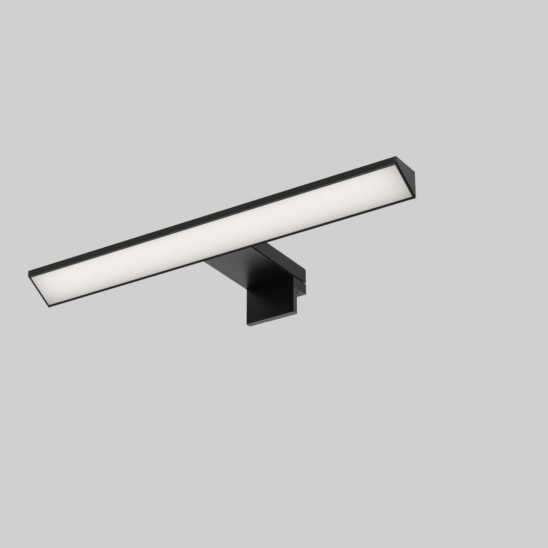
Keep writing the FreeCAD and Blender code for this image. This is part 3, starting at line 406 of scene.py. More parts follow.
def bar_black():
    """Black of the bar, with a painted highlight: a pale line drawn along the mouth's upper rim."""
    paint = satin_black("bar_black", SATIN_BASE, SATIN_GRAIN, SATIN_DEPTH, (0.24, 0.32))
    mouth = mouth_frame("diffuser")
    climb, outward = mouth.col[1].to_3d(), mouth.col[2].to_3d()
    upper_edge = max(marks_along("diffuser", climb))
    # Painted highlight: the pale line on the rim just above the opal's upper edge.
    line = paint.between(paint.along(climb), upper_edge + RIM_HIGHLIGHT_START, upper_edge + RIM_HIGHLIGHT_END, 0.08)
    highlight_on_rim = paint.spread(paint.facing(outward), 0.95, 0.99)
    paint.coat(paint.product(line, highlight_on_rim), RIM_HIGHLIGHT_COLOUR)
    return paint.material


def arm_black():
    """Black of the arm, with painted shade deepest in the seam under the casing, and painted highlights
    beside the seam and on the front plate's edges.

    The seam's painted shade starts just above the underside's level and takes in the casing's lower edge.
    """
    paint = satin_black("arm_black", SATIN_BASE, SATIN_GRAIN, SATIN_DEPTH, (0.3, 0.38))
    height = paint.along(Z_AXIS)
    depth = paint.along(Y_AXIS)
    casing_low, casing_high = node_box("arm_casing")
    seam_top = casing_low.z
    seam_floor = seam_top - SEAM_GAP
    # Painted shade: black in the seam's gap and on the casing's lower edge.
    seam = paint.between(height, seam_floor + SEAM_SHADE_LIFT, seam_top + SEAM_SHADE_LIFT, SEAM_SHADE_LIFT)
    paint.coat(seam, NO_COLOUR)
    # Painted highlight along the underside's edge beside the seam.
    paint.coat(seam_edge_highlight(paint, height, depth, casing_high.x, seam_floor), SEAM_HIGHLIGHT_COLOUR)
    # Painted highlight on the front plate's edges.
    paint.coat(plate_edge_highlight(paint, height, depth), PLATE_EDGE_HIGHLIGHT_COLOUR)
    return paint.material


def seam_edge_highlight(paint, height, depth, side, seam_floor):
    """Painted highlight on the underside's edge below the seam, fading in towards the bar."""
    across = paint.math("ABSOLUTE", paint.along(X_AXIS))
    beside = paint.between(across, side - 2 * SEAM_HIGHLIGHT_WIDTH, side - SEAM_HIGHLIGHT_WIDTH / 2, 0.1)
    level = paint.spread(paint.facing(Z_AXIS), 0.9, 0.95)
    below = paint.spread(height, seam_floor, seam_floor - 0.1)
    towards_bar = paint.spread(depth, SEAM_HIGHLIGHT_START, SEAM_HIGHLIGHT_FULL)
    return paint.product(beside, level, below, towards_bar)


def plate_edge_highlight(paint, height, depth):
    """Painted highlight on the front plate's edges: in front of the glass, below its top, and not facing
    along Y.
    """
    edge_on = paint.spread(paint.facing(Y_AXIS), 0.7, 0.4)
    below_top = paint.spread(height, 0.0, -0.3)
    in_front = paint.spread(depth, 0.5, 0.0)
    return paint.product(edge_on, below_top, in_front)


def cap_black():
    """Moulded end caps, with painted shade: deep black on the chamfer beside the mouth."""
    paint = satin_black("cap_black", CAP_BASE, CAP_GRAIN, CAP_DEPTH, (0.3, 0.4))
    slanted = paint.between(paint.facing(X_AXIS), 0.4, 0.9, 0.05)
    shade_facing_down = paint.spread(paint.facing(Z_AXIS), 0.1, 0.2)
    # Painted shade: the chamfer beside the mouth, slanted and facing down, is painted black.
    paint.coat(paint.product(slanted, shade_facing_down), NO_COLOUR)
    return paint.material


def opal_plate():
    """Lit opal acrylic, dimmer towards its long edges and its ends."""
    paint = Paint("opal", OPAL_COLOUR, 0.36)
    climb = mouth_frame("diffuser").col[1].to_3d()
    marks = marks_along("diffuser", climb)
    across = paint.along(climb)
    sideways = paint.math("ABSOLUTE", paint.along(X_AXIS))
    from_low_edge = paint.math("SUBTRACT", across, min(marks))
    from_high_edge = paint.math("SUBTRACT", max(marks), across)
    from_end = paint.math("SUBTRACT", node_box("diffuser")[1].x, sideways)
    falls = ((from_low_edge, LOW_EDGE_FALL), (from_high_edge, HIGH_EDGE_FALL), (from_end, END_FALL))
    glow = paint.unfold(paint.noise(OPAL_CLOUD), 0.99, 1.0)
    for distance, (loss, reach) in falls:
        fall = paint.math("EXPONENT", paint.product(distance, -1 / reach))
        glow = paint.product(glow, paint.math("SUBTRACT", 1.0, paint.product(fall, loss)))
    wave = paint.math("COSINE", paint.product(sideways, math.tau / chip_pitch()))
    glow = paint.product(glow, paint.spread(wave, -1.0, 1.0, 1.0, CHIP_WAVE))
    paint.drive("Emission Color", paint.colours(glow, NO_COLOUR, OPAL_GLOW))
    paint.constant("Emission Strength", OPAL_STRENGTH)
    fine = paint.noise(0.25)
    paint.drive("Roughness", paint.unfold(fine, 0.32, 0.42))
    paint.relief(fine, 0.002)
    return paint.material


def brushed(name, tone, rough, stretch):
    """Metal with a fine grain, drawn out into lines along the axis that stretch shortens."""
    paint = Paint(name, tone, rough[0], 1.0)
    lines = paint.noise(0.12, CLOUD_DETAIL, stretch)
    shade = tuple(0.75 * part for part in tone)
    paint.drive("Base Color", paint.colours(paint.unfold(lines), shade, tone))
    paint.drive("Roughness", paint.unfold(paint.noise(2.0, CLOUD_DETAIL), *rough))
    paint.relief(lines, 0.003)
    return paint.material


def black_oxide():
    """Blackened steel, bright where its edges are rubbed."""
    paint = Paint("black_oxide", (0.05, 0.05, 0.055), 0.35, 1.0)
    rub = paint.product(paint.edges(0.15), paint.spread(paint.noise(0.8), 0.4, 0.6))
    cloud = paint.unfold(paint.noise(1.5, CLOUD_DETAIL))
    tone = paint.colours(cloud, (0.035, 0.035, 0.04), (0.07, 0.068, 0.065))
    paint.drive("Base Color", paint.colours(rub, tone, (0.4, 0.39, 0.37)))
    paint.drive("Roughness", paint.unfold(paint.noise(0.5), 0.28, 0.42))
    paint.relief(paint.noise(0.1), 0.002)
    return paint.material


def circuit_mask(name, dark, light, step):
    """Solder mask over copper lines that run along both axes."""
    paint = Paint(name, light, 0.35)
    gap, line = 0.3, 0.4
    along_x = paint.spread(paint.math("PINGPONG", paint.along(X_AXIS), step), gap, line)
    along_y = paint.spread(paint.math("PINGPONG", paint.along(Y_AXIS), step * 0.7), gap, line)
    patch = paint.spread(paint.noise(step * 3), 0.48, 0.52)
    lines = paint.math("MAXIMUM", paint.product(along_x, patch), along_y)
    paint.drive("Base Color", paint.colours(lines, light, dark))
    paint.drive("Roughness", paint.unfold(paint.noise(0.6), 0.28, 0.4))
    paint.relief(lines, 0.03)
    return paint.material


def striped_sleeve():
    """Shrink sleeve with a pale band along its top."""
    paint = Paint("capacitor_sleeve", (0.02, 0.02, 0.03), 0.25)
    top = node_box("driver_capacitors")[1].z
    band = paint.spread(paint.along(Z_AXIS), top - 0.9, top - 0.7)
    paint.drive("Base Color", paint.colours(band, (0.015, 0.016, 0.03), (0.5, 0.5, 0.52)))
    paint.drive("Roughness", paint.unfold(paint.noise(0.4), 0.18, 0.3))
    paint.relief(paint.noise(0.8), 0.01)
    return paint.material


# Dark colour, light colour and roughness range, then patch size, grain size, grain depth and stretch
# where they differ from mottled's own.
MOTTLED = {
    "black_seal": ((0.003, 0.003, 0.003), (0.006, 0.006, 0.006), (0.6, 0.8)),
    "soft_pad": ((0.018, 0.018, 0.02), (0.03, 0.03, 0.032), (0.5, 0.7), 3.0, 0.15),
    "phosphor": ((0.8, 0.55, 0.08), (0.95, 0.75, 0.2), (0.2, 0.3), 1.0, 0.1),
    "tape": ((0.6, 0.6, 0.58), (0.78, 0.78, 0.75), (0.6, 0.8), 2.0, 0.2, 0.01, (0.2, 1, 1)),
    "lead_black": ((0.012, 0.012, 0.012), (0.02, 0.02, 0.02), (0.35, 0.5)),
    "lead_red": ((0.4, 0.015, 0.015), (0.55, 0.03, 0.025), (0.35, 0.5)),
    "lead_brown": ((0.16, 0.06, 0.03), (0.24, 0.1, 0.045), (0.35, 0.5)),
    "lead_blue": ((0.03, 0.1, 0.4), (0.05, 0.15, 0.5), (0.35, 0.5)),
    "tray": ((0.62, 0.62, 0.58), (0.74, 0.74, 0.7), (0.35, 0.5), 8.0, 0.4, 0.01),
    "transformer": ((0.62, 0.42, 0.05), (0.8, 0.6, 0.1), (0.25, 0.35), 2.0, 0.3),
    "ferrite": ((0.03, 0.03, 0.032), (0.06, 0.06, 0.06), (0.4, 0.6), 1.0, 0.12, 0.01),
    "chip_black": ((0.01, 0.01, 0.01), (0.02, 0.02, 0.02), (0.4, 0.55), 1.0, 0.08),
    "terminal_plastic": ((0.66, 0.66, 0.63), (0.78, 0.78, 0.74), (0.3, 0.42)),
    "clamp_plastic": ((0.03, 0.03, 0.03), (0.05, 0.05, 0.05), (0.4, 0.55)),
    "package": ((0.8, 0.79, 0.75), (0.9, 0.89, 0.86), (0.3, 0.4), 1.0, 0.1),
}


def make_materials():
    """One material for each slot of the record, and more for the bar, its caps and the fine pieces."""
    made = {name: mottled(name, *finish) for name, finish in MOTTLED.items()}
    made["black_paint"] = arm_black()
    made["bar_black"] = bar_black()
    made["cap_black"] = cap_black()
    made["opal"] = opal_plate()
    made["zinc_steel"] = brushed("zinc_steel", (0.62, 0.62, 0.64), (0.25, 0.4), (0.1, 1, 1))
    made["tin"] = brushed("tin", (0.7, 0.7, 0.69), (0.2, 0.35), (1, 1, 1))
    made["copper"] = brushed("copper", (0.85, 0.38, 0.2), (0.2, 0.35), (1, 1, 1))
    made["black_steel"] = black_oxide()
    made["white_board"] = circuit_mask("white_board", (0.66, 0.66, 0.6), (0.84, 0.84, 0.81), 5.0)
    made["green_board"] = circuit_mask("green_board", (0.02, 0.13, 0.05), (0.015, 0.08, 0.03), 2.2)
    made["capacitor_sleeve"] = striped_sleeve()
    return made


# ---------------------------------------------------------------- drawing


def node_box(name):
    """A node's lowest and highest corners, in millimetres."""
    low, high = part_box(name)
    return low / MM, high / MM


def axes(origin, height, across):
    """A local frame: its first axis is across, its third is height."""
    third = Vector(height).normalized()
    first = Vector(across).normalized()
    place = Matrix((first, third.cross(first), third)).transposed().to_4x4()
    place.translation = Vector(origin)
    return place


def mouth_frame(name):
    """Frame at the middle of a slanted CAD plate: first axis along the bar, third out of the mouth."""
    widest = max(frame["nodes"][name].data.polygons, key=lambda face: face.area)
    outward = widest.normal.copy()
    if outward.z > 0:
        outward.negate()
    low, high = node_box(name)
    return axes((low + high) / 2, outward, X_AXIS)


def circle(radius, count=48):
    """Points of a circle."""
    return polar(lambda angle: radius, count)


def polar(reach, count=48):
    """Points whose distance from the middle depends on their angle."""
    angles = [math.tau * index / count for index in range(count)]
    return [(reach(angle) * math.cos(angle), reach(angle) * math.sin(angle)) for angle in angles]


def bars(long_way, short_way, arms):
    """Outline of a slot (2 arms) or a cross (4 arms) in a screw's head."""
    step = math.tau / arms

    def reach(angle):
        lean = (angle + step / 2) % step - step / 2
        side = abs(math.sin(lean))
        tip = long_way / 2 / max(math.cos(lean), 0.01)
        return min(tip, short_way / 2 / side) if side > 0.001 else tip

    return polar(reach)


def hexagon(radius):
    """Outline of a hexagon socket of the given corner radius."""
    flat = radius * math.cos(math.pi / 6)
    return polar(lambda angle: flat / math.cos((angle % (math.pi / 3)) - math.pi / 6))


def rounded(width, depth, radius):
    """Outline of a rectangle with rounded corners."""
    steps = 4
    points = []
    for quarter, (x, y) in enumerate(((1, 1), (-1, 1), (-1, -1), (1, -1))):
        for step in range(steps + 1):
            angle = math.pi / 2 * (quarter + step / steps)
            corner = (x * (width / 2 - radius), y * (depth / 2 - radius))
            points.append((corner[0] + radius * math.cos(angle), corner[1] + radius * math.sin(angle)))
    return points


def scaled(outline, share):
    """The same outline, smaller or larger."""
    return [(a * share, b * share) for a, b in outline]


def thread(start, end, radius, pitch, steps=6):
    """Rings of a V thread that fades towards its core at both ends."""
    depth = 0.55 * pitch
    count = round((end - start) / pitch * steps)
    layers = []
    for index in range(count + 1):
        height = start + (end - start) * index / count
        fade = min(1.0, 0.3 + (height - start) / pitch, 0.3 + (end - height) / pitch)

        def reach(angle, height=height, fade=fade):
            turn = (height / pitch - angle / math.tau) % 1.0
            ridge = min(1.0, 1.2 * (1 - abs(2 * turn - 1)))
            return radius - depth * (1 - fade * ridge)

        layers.append((polar(reach), height))
    return layers


class Solid:
    """Closed shells that make one piece, drawn in millimetres."""

    def __init__(self):
        self.points = []
        self.faces = []
        self.paints = []

    def stack(self, place, layers, paints=0, ring=False):
        """Joins outlines with equal point counts, each at its height, into a closed shell or a ring.

        paints is one material index, or one for each band and then the last cap.
        """
        first = len(self.points)
        count = len(layers[0][0])
        for outline, height in layers:
            self.points += [place @ Vector((a, b, height)) for a, b in outline]
        bands = len(layers) if ring else len(layers) - 1
        for band in range(bands):
            low = first + band * count
            high = first + (band + 1) % len(layers) * count
            paint = paints if isinstance(paints, int) else paints[band]
            for index in range(count):
                after = (index + 1) % count
                self.faces.append((low + index, low + after, high + after, high + index))
                self.paints.append(paint)
        if not ring:
            last = first + (len(layers) - 1) * count
            self.faces.append(tuple(range(first, first + count))[::-1])
            self.faces.append(tuple(range(last, last + count)))
            self.paints += [paints, paints] if isinstance(paints, int) else [paints[0], paints[-1]]

    def block(self, low, high, radius=0.1, paint=0):
        """A box between two corners with rounded edges."""
        low, high = Vector(low), Vector(high)
        size = high - low
        place = axes((low + high) / 2 - Z_AXIS * size.z / 2, Z_AXIS, X_AXIS)
        full = rounded(size.x, size.y, radius)
        inner = rounded(size.x - radius, size.y - radius, radius / 2)
        small = radius * 0.3
        layers = [(inner, 0), (full, small), (full, size.z - small), (inner, size.z)]
        self.stack(place, layers, paint)

    def piece(self, name, materials, slot, stands_for=(), body="fixture"):
        """Ends the drawing as an object that rides on a body."""
        mesh = bpy.data.meshes.new(name)
        mesh.from_pydata([point * MM for point in self.points], [], self.faces)
        for material in materials:
            mesh.materials.append(looks[material])
        mesh.polygons.foreach_set("material_index", self.paints)
        shape = bmesh.new()
        shape.from_mesh(mesh)
        bmesh.ops.recalc_face_normals(shape, faces=shape.faces)
        shape.to_mesh(mesh)
        shape.free()
        mesh.shade_smooth()
        mesh.set_sharp_from_angle(angle=SMOOTH_ANGLE)
        piece = bpy.data.objects.new(name, mesh)
        bpy.context.scene.collection.objects.link(piece)
        if stands_for:
            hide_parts(*stands_for)
        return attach(piece, body)


# ---------------------------------------------------------------- screws

# A thread is its radius and its pitch. A recess is its length, its width and its number of arms.
# M2_HEAD is a head's radius.

M3_THREAD = (1.4, 0.5)
M2_THREAD = (1.0, 0.4)
M2_HEAD = 1.9
M4_PITCH = 0.7
TERMINAL_PITCH = 0.45
M3_CROSS = (2.8, 0.7, 4)
M2_SLOT = (3.0, 0.5, 2)


def pan_head(radius, thick):
    """Rings of a domed head above its seat at height 0."""
    profile = ((0.94, 0), (1.0, 0.06), (1.0, 0.5), (0.93, 0.8), (0.78, 0.95), (0.62, 1.0))
    return [(circle(radius * share), thick * height) for share, height in profile]


def add_screw(solid, seat, direction, screw_thread, length, head, recess, depth):
    """A threaded screw whose head sits at seat and whose tip points against direction."""
    shank, pitch = screw_thread
    tip = [(circle(shank * 0.45), -length), (circle(shank * 0.62), -length + 0.15 * shank)]
    turns = thread(-length + 0.35 * shank, -0.25, shank * 0.98, pitch)
    top = head[-1][1]
    sunk = [(recess, top), (scaled(recess, 0.9), top - depth * 0.7), (scaled(recess, 0.35), top - depth)]
    neck = [(circle(shank * 0.8), -0.02)]
    solid.stack(axes(seat, direction, X_AXIS), tip + turns + neck + head + sunk)


def pair_centres(name):
    """Middles of a pair of like round solids at a node's two ends along X, and the width of each."""
    low, high = node_box(name)
    size = high - low
    width = min(size.y, size.z)
    offset = X_AXIS * (size.x - width) / 2
    return [(low + high) / 2 + side * offset for side in SIDES], width


def make_bar_screws():
    """M3 pan-head screws that hold the bar on the bracket."""
    solid = Solid()
    low, high = node_box("bar_screws")
    places, width = pair_centres("bar_screws")
    thick = 1.6
    for middle in places:
        seat = Vector((middle.x, high.y - thick, middle.z))
        head = pan_head(width / 2, thick)
        add_screw(solid, seat, Y_AXIS, M3_THREAD, seat.y - low.y, head, bars(*M3_CROSS), depth=0.9)
    solid.piece("bar_screws_threaded", ["zinc_steel"], "zinc_steel", ["bar_screws"])


def make_casing_screws():
    """M3 countersunk screws in the casing's rear wall."""
    solid = Solid()
    low, high = node_box("casing_screws")
    places, width = pair_centres("casing_screws")
    radius = width / 2
    sink = radius - M3_THREAD[0]
    edge = 0.12
    for middle in places:
        seat = Vector((middle.x, high.y - sink, middle.z))
        cone = ((M3_THREAD[0], 0), (radius - edge, sink - edge))
        rim = ((radius, sink - edge / 2), (radius - edge, sink))
        head = [(circle(size), height) for size, height in cone + rim]
        add_screw(solid, seat, Y_AXIS, M3_THREAD, seat.y - low.y, head, bars(*M3_CROSS), depth=1.1)
    solid.piece("casing_screws_threaded", ["black_steel"], "zinc_steel", ["casing_screws"])


def make_small_screws(node, places):
    """M2 slotted pan-head screws that point down."""
    thick = 1.1
    solid = Solid()
    low, high = node_box(node)
    for x, y in places:
        seat = Vector((x, y, high.z - thick))
        head = pan_head(M2_HEAD, thick)
        add_screw(solid, seat, Z_AXIS, M2_THREAD, seat.z - low.z, head, bars(*M2_SLOT), depth=0.55)
    solid.piece(node + "_threaded", ["zinc_steel"], "zinc_steel", [node])


def make_terminal_screws():
    """Slotted clamping screws in the terminal block."""
    solid = Solid()
    low, high = node_box("terminal_screws")
    places, width = pair_centres("terminal_screws")
    radius = width / 2
    depth = high.z - low.z
    for middle in places:
        slot = bars(width * 0.85, 0.5, 2)
        top = [(circle(radius * 0.9), depth), (slot, depth), (slot, depth - 0.7)]
        turns = thread(0.15, depth - 0.2, radius, TERMINAL_PITCH)
        place = axes((middle.x, middle.y, low.z), Z_AXIS, X_AXIS)
        solid.stack(place, [(circle(radius * 0.7), 0)] + turns + top)
    solid.piece("terminal_screws_slotted", ["zinc_steel"], "zinc_steel", ["terminal_screws"])


def make_clamp_screw():
    """M4 set screw with its riveted nose and hexagon socket."""
    low, high = node_box("clamp_screw")
    middle = (low + high) / 2
    radius = (high.x - low.x) / 2
    end = high.y - low.y
    start = end - 6.0
    collar = 1.8
    neck = 1.25
    nose = [(collar - 0.25, 0), (collar, 0.08), (collar, 0.24), (collar - 0.1, 0.3)]
    nose += [(neck, 0.3), (neck, start), (1.5, start)]
    layers = [(circle(size), height) for size, height in nose]
    layers += thread(start + 0.12, end - 0.15, radius, M4_PITCH, 8)
    socket = hexagon(1.15)
    layers += [(circle(radius - 0.4), end), (scaled(socket, 1.1), end), (socket, end - 0.12)]
    layers += [(socket, end - 2.0), (scaled(socket, 0.2), end - 2.4)]
    solid = Solid()
    solid.stack(axes((middle.x, low.y, middle.z), Y_AXIS, X_AXIS), layers)
    solid.piece("clamp_screw_threaded", ["black_steel"], "black_steel", ["clamp_screw"], "screw")


# ---------------------------------------------------------------- seals and pads


def bend(centre, radius, start, end, steps=4):
    """Points of an arc in a turned profile, angles in degrees."""
    angles = [math.radians(start + (end - start) * step / steps) for step in range(steps + 1)]
    return [(centre[0] + radius * math.cos(a), centre[1] + radius * math.sin(a)) for a in angles]


def turn_ring(solid, place, profile):
    """A ring turned from a closed profile of (radius, height) points."""
    solid.stack(place, [(circle(radius), height) for radius, height in profile], ring=True)


def make_cord_grommet():
    """Rubber grommet with rounded flanges in the casing's rear wall."""
    low, high = node_box("cord_grommet")
    middle = (low + high) / 2
    end = high.y - low.y
    outer = (high.x - low.x) / 2
    bore = 2.4
    neck = 3.15
    inner = 3.6
    flange = 0.8
    curve = 0.35
    profile = bend((bore + curve, curve), curve, 180, 270)
    profile += bend((inner - 0.3, 0.3), 0.3, 270, 360)
    profile += [(inner, flange), (neck, flange), (neck, end - flange), (outer, end - flange)]
    profile += bend((outer - curve, end - curve), curve, 0, 90)
    profile += bend((bore + curve, end - curve), curve, 90, 180)
    solid = Solid()
    turn_ring(solid, axes((middle.x, low.y, middle.z), Y_AXIS, X_AXIS), profile)
    solid.piece("cord_grommet_moulded", ["black_seal"], "black_seal", ["cord_grommet"])


def make_lead_grommets():
    """Small rounded bushings round the leads."""
    low, high = node_box("lead_grommets")
    places, width = pair_centres("lead_grommets")
    outer = width / 2
    bore = 0.8
    edge = 0.1
    end = high.y - low.y
    profile = bend((bore + edge, edge), edge, 180, 270, 2)
    profile += bend((outer - edge, edge), edge, 270, 360, 2)
    profile += bend((outer - edge, end - edge), edge, 0, 90, 2)
    profile += bend((bore + edge, end - edge), edge, 90, 180, 2)
    solid = Solid()
    for middle in places:
        turn_ring(solid, axes((middle.x, low.y, middle.z), Y_AXIS, X_AXIS), profile)
    solid.piece("lead_grommets_moulded", ["black_seal"], "black_seal", ["lead_grommets"])


def ribbed_outline(thick, tall, ribs, depth):
    """Section of a pad: a flat chamfered back, and rounded ribs on the face that the glass touches."""
    points_per_rib = 10
    chamfer = 0.1
    back = -thick / 2
    edge = 0.04 * tall
    count = ribs * points_per_rib
    outline = [(back, -tall / 2 + chamfer), (back + chamfer, -tall / 2)]
    for index in range(count + 1):
        share = index / count
        wave = 0.5 - 0.5 * math.cos(math.tau * ribs * share)
        outline.append((thick / 2 - depth * (1 - wave), -tall / 2 + edge + (tall - 2 * edge) * share))
    return outline + [(back + chamfer, tall / 2), (back, tall / 2 - chamfer)]


def drawn_in(outline, inset, tall):
    """A pad's section, drawn in by inset across its thickness and by half of that at each edge."""
    return [(a - math.copysign(min(inset, abs(a)), a), b * (1 - inset / tall)) for a, b in outline]


def make_ribbed_pad(node, contact, ribs, depth, body="fixture"):
    """A silicone strip with rounded ends and ribs that run along X."""
    low, high = node_box(node)
    contact = Vector(contact)
    height = X_AXIS.cross(contact)
    size = high - low
    thick = abs(size.dot(contact))
    tall = abs(size.dot(height))
    outline = ribbed_outline(thick, tall, ribs, depth)
    place = Matrix((contact, height, X_AXIS)).transposed().to_4x4()
    place.translation = (low + high) / 2 - X_AXIS * size.x / 2
    rounding = ((0.0, 0.12), (0.08, 0.04), (0.25, 0.0))
    near = [(drawn_in(outline, inset, tall), along) for along, inset in rounding]
    far = [(shape, size.x - along) for shape, along in reversed(near)]
    solid = Solid()
    solid.stack(place, near + far)
    piece = solid.piece(node + "_ribbed", ["soft_pad"], "soft_pad", [node], body)


# ---------------------------------------------------------------- light source


CHIP_SIZE = 2.8
CHIP_THICK = 0.8
CHIP_COUNT = 28
WELL_DEPTH = 0.2


def chip_pitch():
    """Spacing of the LEDs along the bar, in millimetres."""
    low, high = node_box("led_chips")
    return (high.x - low.x - CHIP_SIZE) / (CHIP_COUNT - 1)


def make_led_chips():
    """White packages with a phosphor well and two tinned feet each."""
    solid = Solid()
    start = node_box("led_chips")[0].x + CHIP_SIZE / 2
    board = mouth_frame("led_chips")
    across, outward = board.col[0].to_3d(), board.col[2].to_3d()
    body = rounded(CHIP_SIZE, CHIP_SIZE, 0.2)
    top = rounded(CHIP_SIZE - 0.1, CHIP_SIZE - 0.1, 0.2)
    well = rounded(2.2, 2.2, 0.7)
    bottom = rounded(1.9, 1.9, 0.6)
    bottom_height = CHIP_THICK - WELL_DEPTH
    layers = [(body, 0), (body, 0.5), (top, CHIP_THICK), (well, CHIP_THICK)]
    layers += [(bottom, bottom_height), (scaled(bottom, 0.3), bottom_height + 0.06)]
    foot = rounded(0.5, 1.9, 0.1)
    for index in range(CHIP_COUNT):
        middle = Vector((start + index * chip_pitch(), *board.translation.yz)) - outward * CHIP_THICK / 2
        solid.stack(axes(middle, outward, across), layers, [0, 0, 0, 0, 1, 1])
        for side in SIDES:
            spot = middle + across * side * (CHIP_SIZE / 2 + 0.05)
            solid.stack(axes(spot, outward, across), [(foot, 0), (scaled(foot, 0.9), 0.12)], 2)
    solid.piece("led_packages", ["package", "phosphor", "tin"], "phosphor", ["led_chips"])


# ---------------------------------------------------------------- driver


def make_transformer():
    """Ferrite core round a taped winding on a flanged bobbin."""
    solid = Solid()
    low, high = node_box("driver_transformer")
    middle = (low + high) / 2
    core_half = 3.0
    core_gap = 0.05
    for side in SIDES:
        start, end = sorted((middle.y + side * core_gap, middle.y + side * core_half))
        solid.block((low.x, start, low.z), (high.x, end, high.z), 0.3, 0)
    tall = high.z - low.z
    axis_height = middle.z - 0.4
    flange_thick = 0.6
    winding_start = flange_thick + 0.1
    span = high.y - low.y - 2 * winding_start
    steps = 8
    winding = rounded(8.2, tall - 1.6, 0.9)
    swell = []
    for step in range(steps + 1):
        fullness = 0.94 + 0.06 * math.sin(math.pi * step / steps)
        swell.append((scaled(winding, fullness), span * step / steps))
    solid.stack(axes((middle.x, low.y + winding_start, axis_height), Y_AXIS, X_AXIS), swell, 1)
    flange = rounded(9.0, tall - 0.8, 0.5)
    worn = scaled(flange, 0.97)
    layers = [(worn, 0), (flange, 0.1), (flange, flange_thick - 0.1), (worn, flange_thick)]
    for start in (low.y, high.y - flange_thick):
        solid.stack(axes((middle.x, start, axis_height), Y_AXIS, X_AXIS), layers, 2)
    materials = ["ferrite", "transformer", "chip_black"]
    solid.piece("transformer_wound", materials, "transformer", ["driver_transformer"])


def make_capacitors():
    """Two cans on their sides: sleeve, rolled neck, rubber bung and vented end."""
    solid = Solid()
    low, high = node_box("driver_capacitors")
    middle = (low + high) / 2
    radius = (high.z - low.z) / 2
    length = 11.0
    profile = [(0.75, 0, 2), (0.8, 0, 2), (0.95, 0.15, 0), (1.0, 0.4, 0)]
    profile += [(1.0, 1.0, 0), (0.9, 1.25, 0), (0.9, 1.45, 0), (1.0, 1.7, 0)]
    profile += [(1.0, 10.5, 0), (0.95, 10.8, 0), (0.86, 10.95, 1), (0.8, 10.85, 1)]
    layers = [(circle(radius * share, 36), height) for share, height, _ in profile]
    paints = [paint for _, _, paint in profile]
    for start in (low.x, high.x - length):
        solid.stack(axes((start, middle.y, middle.z), X_AXIS, Y_AXIS), layers, paints)
    materials = ["capacitor_sleeve", "tin", "black_seal"]
    solid.piece("capacitors_sleeved", materials, "capacitor_sleeve", ["driver_capacitors"])


def make_choke():
    """Ferrite drum wound with enamelled wire."""
    solid = Solid()
    low, high = node_box("driver_choke")
    middle = (low + high) / 2
    radius = (high.x - low.x) / 2
    tall = high.z - low.z
    rim = 0.8
    flange = [(radius * 0.94, 0), (radius, 0.12), (radius, rim - 0.1), (radius * 0.95, rim)]
    layers = [(circle(size), height) for size, height in flange]
    paints = [0] * len(flange)
    wire = 0.32
    steps_per_turn = 6
    count = round((tall - 2 * rim) / wire * steps_per_turn)
    for index in range(count + 1):
        height = rim + (tall - 2 * rim) * index / count

        def reach(angle, height=height):
            turn = (height / wire - angle / math.tau) % 1.0
            return radius * 0.84 + wire / 2 * math.sqrt(max(0.0, 1 - (2 * turn - 1) ** 2))

        layers.append((polar(reach), height))
        paints.append(1)
    paints[-1] = 0
    layers += [(circle(size), tall - height) for size, height in reversed(flange)]
    paints += [0] * len(flange)
    solid.stack(axes((middle.x, middle.y, low.z), Z_AXIS, X_AXIS), layers, paints)
    solid.piece("choke_wound", ["ferrite", "copper"], "ferrite", ["driver_choke"])


def add_chip(solid, centre, depth, width, thick):
    """One moulded package that stands at centre, with four bent legs on each long side."""
    body = rounded(width - 0.3, depth - 1.2, 0.15)
    layers = [(scaled(body, 0.94), 0.1), (body, thick * 0.5), (scaled(body, 0.93), thick)]
    solid.stack(axes(centre, Z_AXIS, X_AXIS), layers, 0)
    legs = 4
    half_leg = 0.18
    far = depth / 2
    near = far - 0.65
    bent = far - 0.4
    level = (near, bent, 0.55, 0.7)
    upright = (bent - 0.1, bent + 0.08, 0.0, 0.7)
    foot = (bent, far, 0.0, 0.15)
    for leg in range(legs):
        x = centre.x - width / 2 + width * (leg + 0.5) / legs
        for side in SIDES:
            for inner, outer, bottom, top in (level, upright, foot):
                first, last = sorted((centre.y + side * inner, centre.y + side * outer))
                low = (x - half_leg, first, centre.z + bottom)
                solid.block(low, (x + half_leg, last, centre.z + top), 0.04, 1)


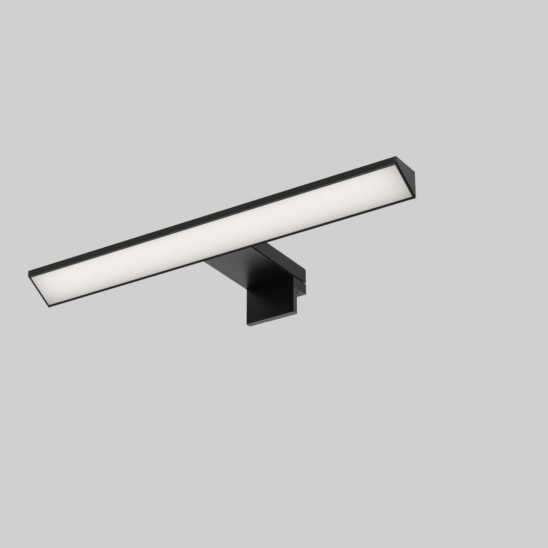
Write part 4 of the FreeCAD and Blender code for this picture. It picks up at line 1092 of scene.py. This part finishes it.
def make_chips():
    """Rectifier and controller with tapered sides and gull-wing legs."""
    solid = Solid()
    low, high = node_box("driver_chips")
    depth = high.y - low.y
    middle_y = (low.y + high.y) / 2
    for start, width, thick in ((low.x, 5.0, 1.5), (high.x - 4.5, 4.5, 1.6)):
        add_chip(solid, Vector((start + width / 2, middle_y, low.z)), depth, width, thick)
    solid.piece("chips_legged", ["chip_black", "tin"], "chip_black", ["driver_chips"])


def make_small_parts():
    """Chip resistors and capacitors in rows on the driver board, each with two tinned ends."""
    solid = Solid()
    board_low, board_high = node_box("driver_board")
    top = board_high.z
    for x, paint in ((-4.5, 0), (-1.5, 0), (1.5, 1), (4.5, 0)):
        for y in (board_low.y + 2.5, board_low.y + 5.5):
            solid.block((x - 0.75, y - 0.6, top), (x + 0.75, y + 0.6, top + 0.5), 0.08, paint)
            for side in SIDES:
                first, last = sorted((x + side * 0.7, x + side * 1.05))
                solid.block((first, y - 0.62, top), (last, y + 0.62, top + 0.53), 0.08, 2)
    solid.piece("board_small_parts", ["chip_black", "package", "tin"], "chip_black")


# ---------------------------------------------------------------- assembly


def paint_nodes():
    """Gives every CAD node the finish of its slot; the bar and its caps have their own blacks."""
    special = {"bar_profile": "bar_black", "end_cap_left": "cap_black", "end_cap_right": "cap_black"}
    for part in frame["record"]["subparts"]:
        name = part["node"]
        material = looks[special.get(name, part["material_slot"])]
        mesh = frame["nodes"][name].data
        mesh.materials.clear()
        mesh.materials.append(material)


def make_fine_pieces():
    """Pieces that stand for the plain CAD solids of fasteners, seals, pads and driver parts."""
    make_bar_screws()
    make_casing_screws()
    low, high = node_box("cord_clamp_screws")
    inset = M2_HEAD
    middle_y = (low.y + high.y) / 2
    make_small_screws("cord_clamp_screws", [(low.x + inset, middle_y), (high.x - inset, middle_y)])
    low, high = node_box("driver_screws")
    make_small_screws("driver_screws", [(low.x + inset, low.y + inset), (high.x - inset, high.y - inset)])
    make_terminal_screws()
    make_clamp_screw()
    make_cord_grommet()
    make_lead_grommets()
    make_ribbed_pad("front_pad", Y_AXIS, 9, 0.3)
    make_ribbed_pad("roof_pad", -Z_AXIS, 4, 0.12)
    make_ribbed_pad("jaw_pad", -Y_AXIS, 6, 0.25, "jaw")
    make_led_chips()
    make_transformer()
    make_capacitors()
    make_choke()
    make_chips()
    make_small_parts()


looks = make_materials()
make_studio()
paint_nodes()
make_fine_pieces()
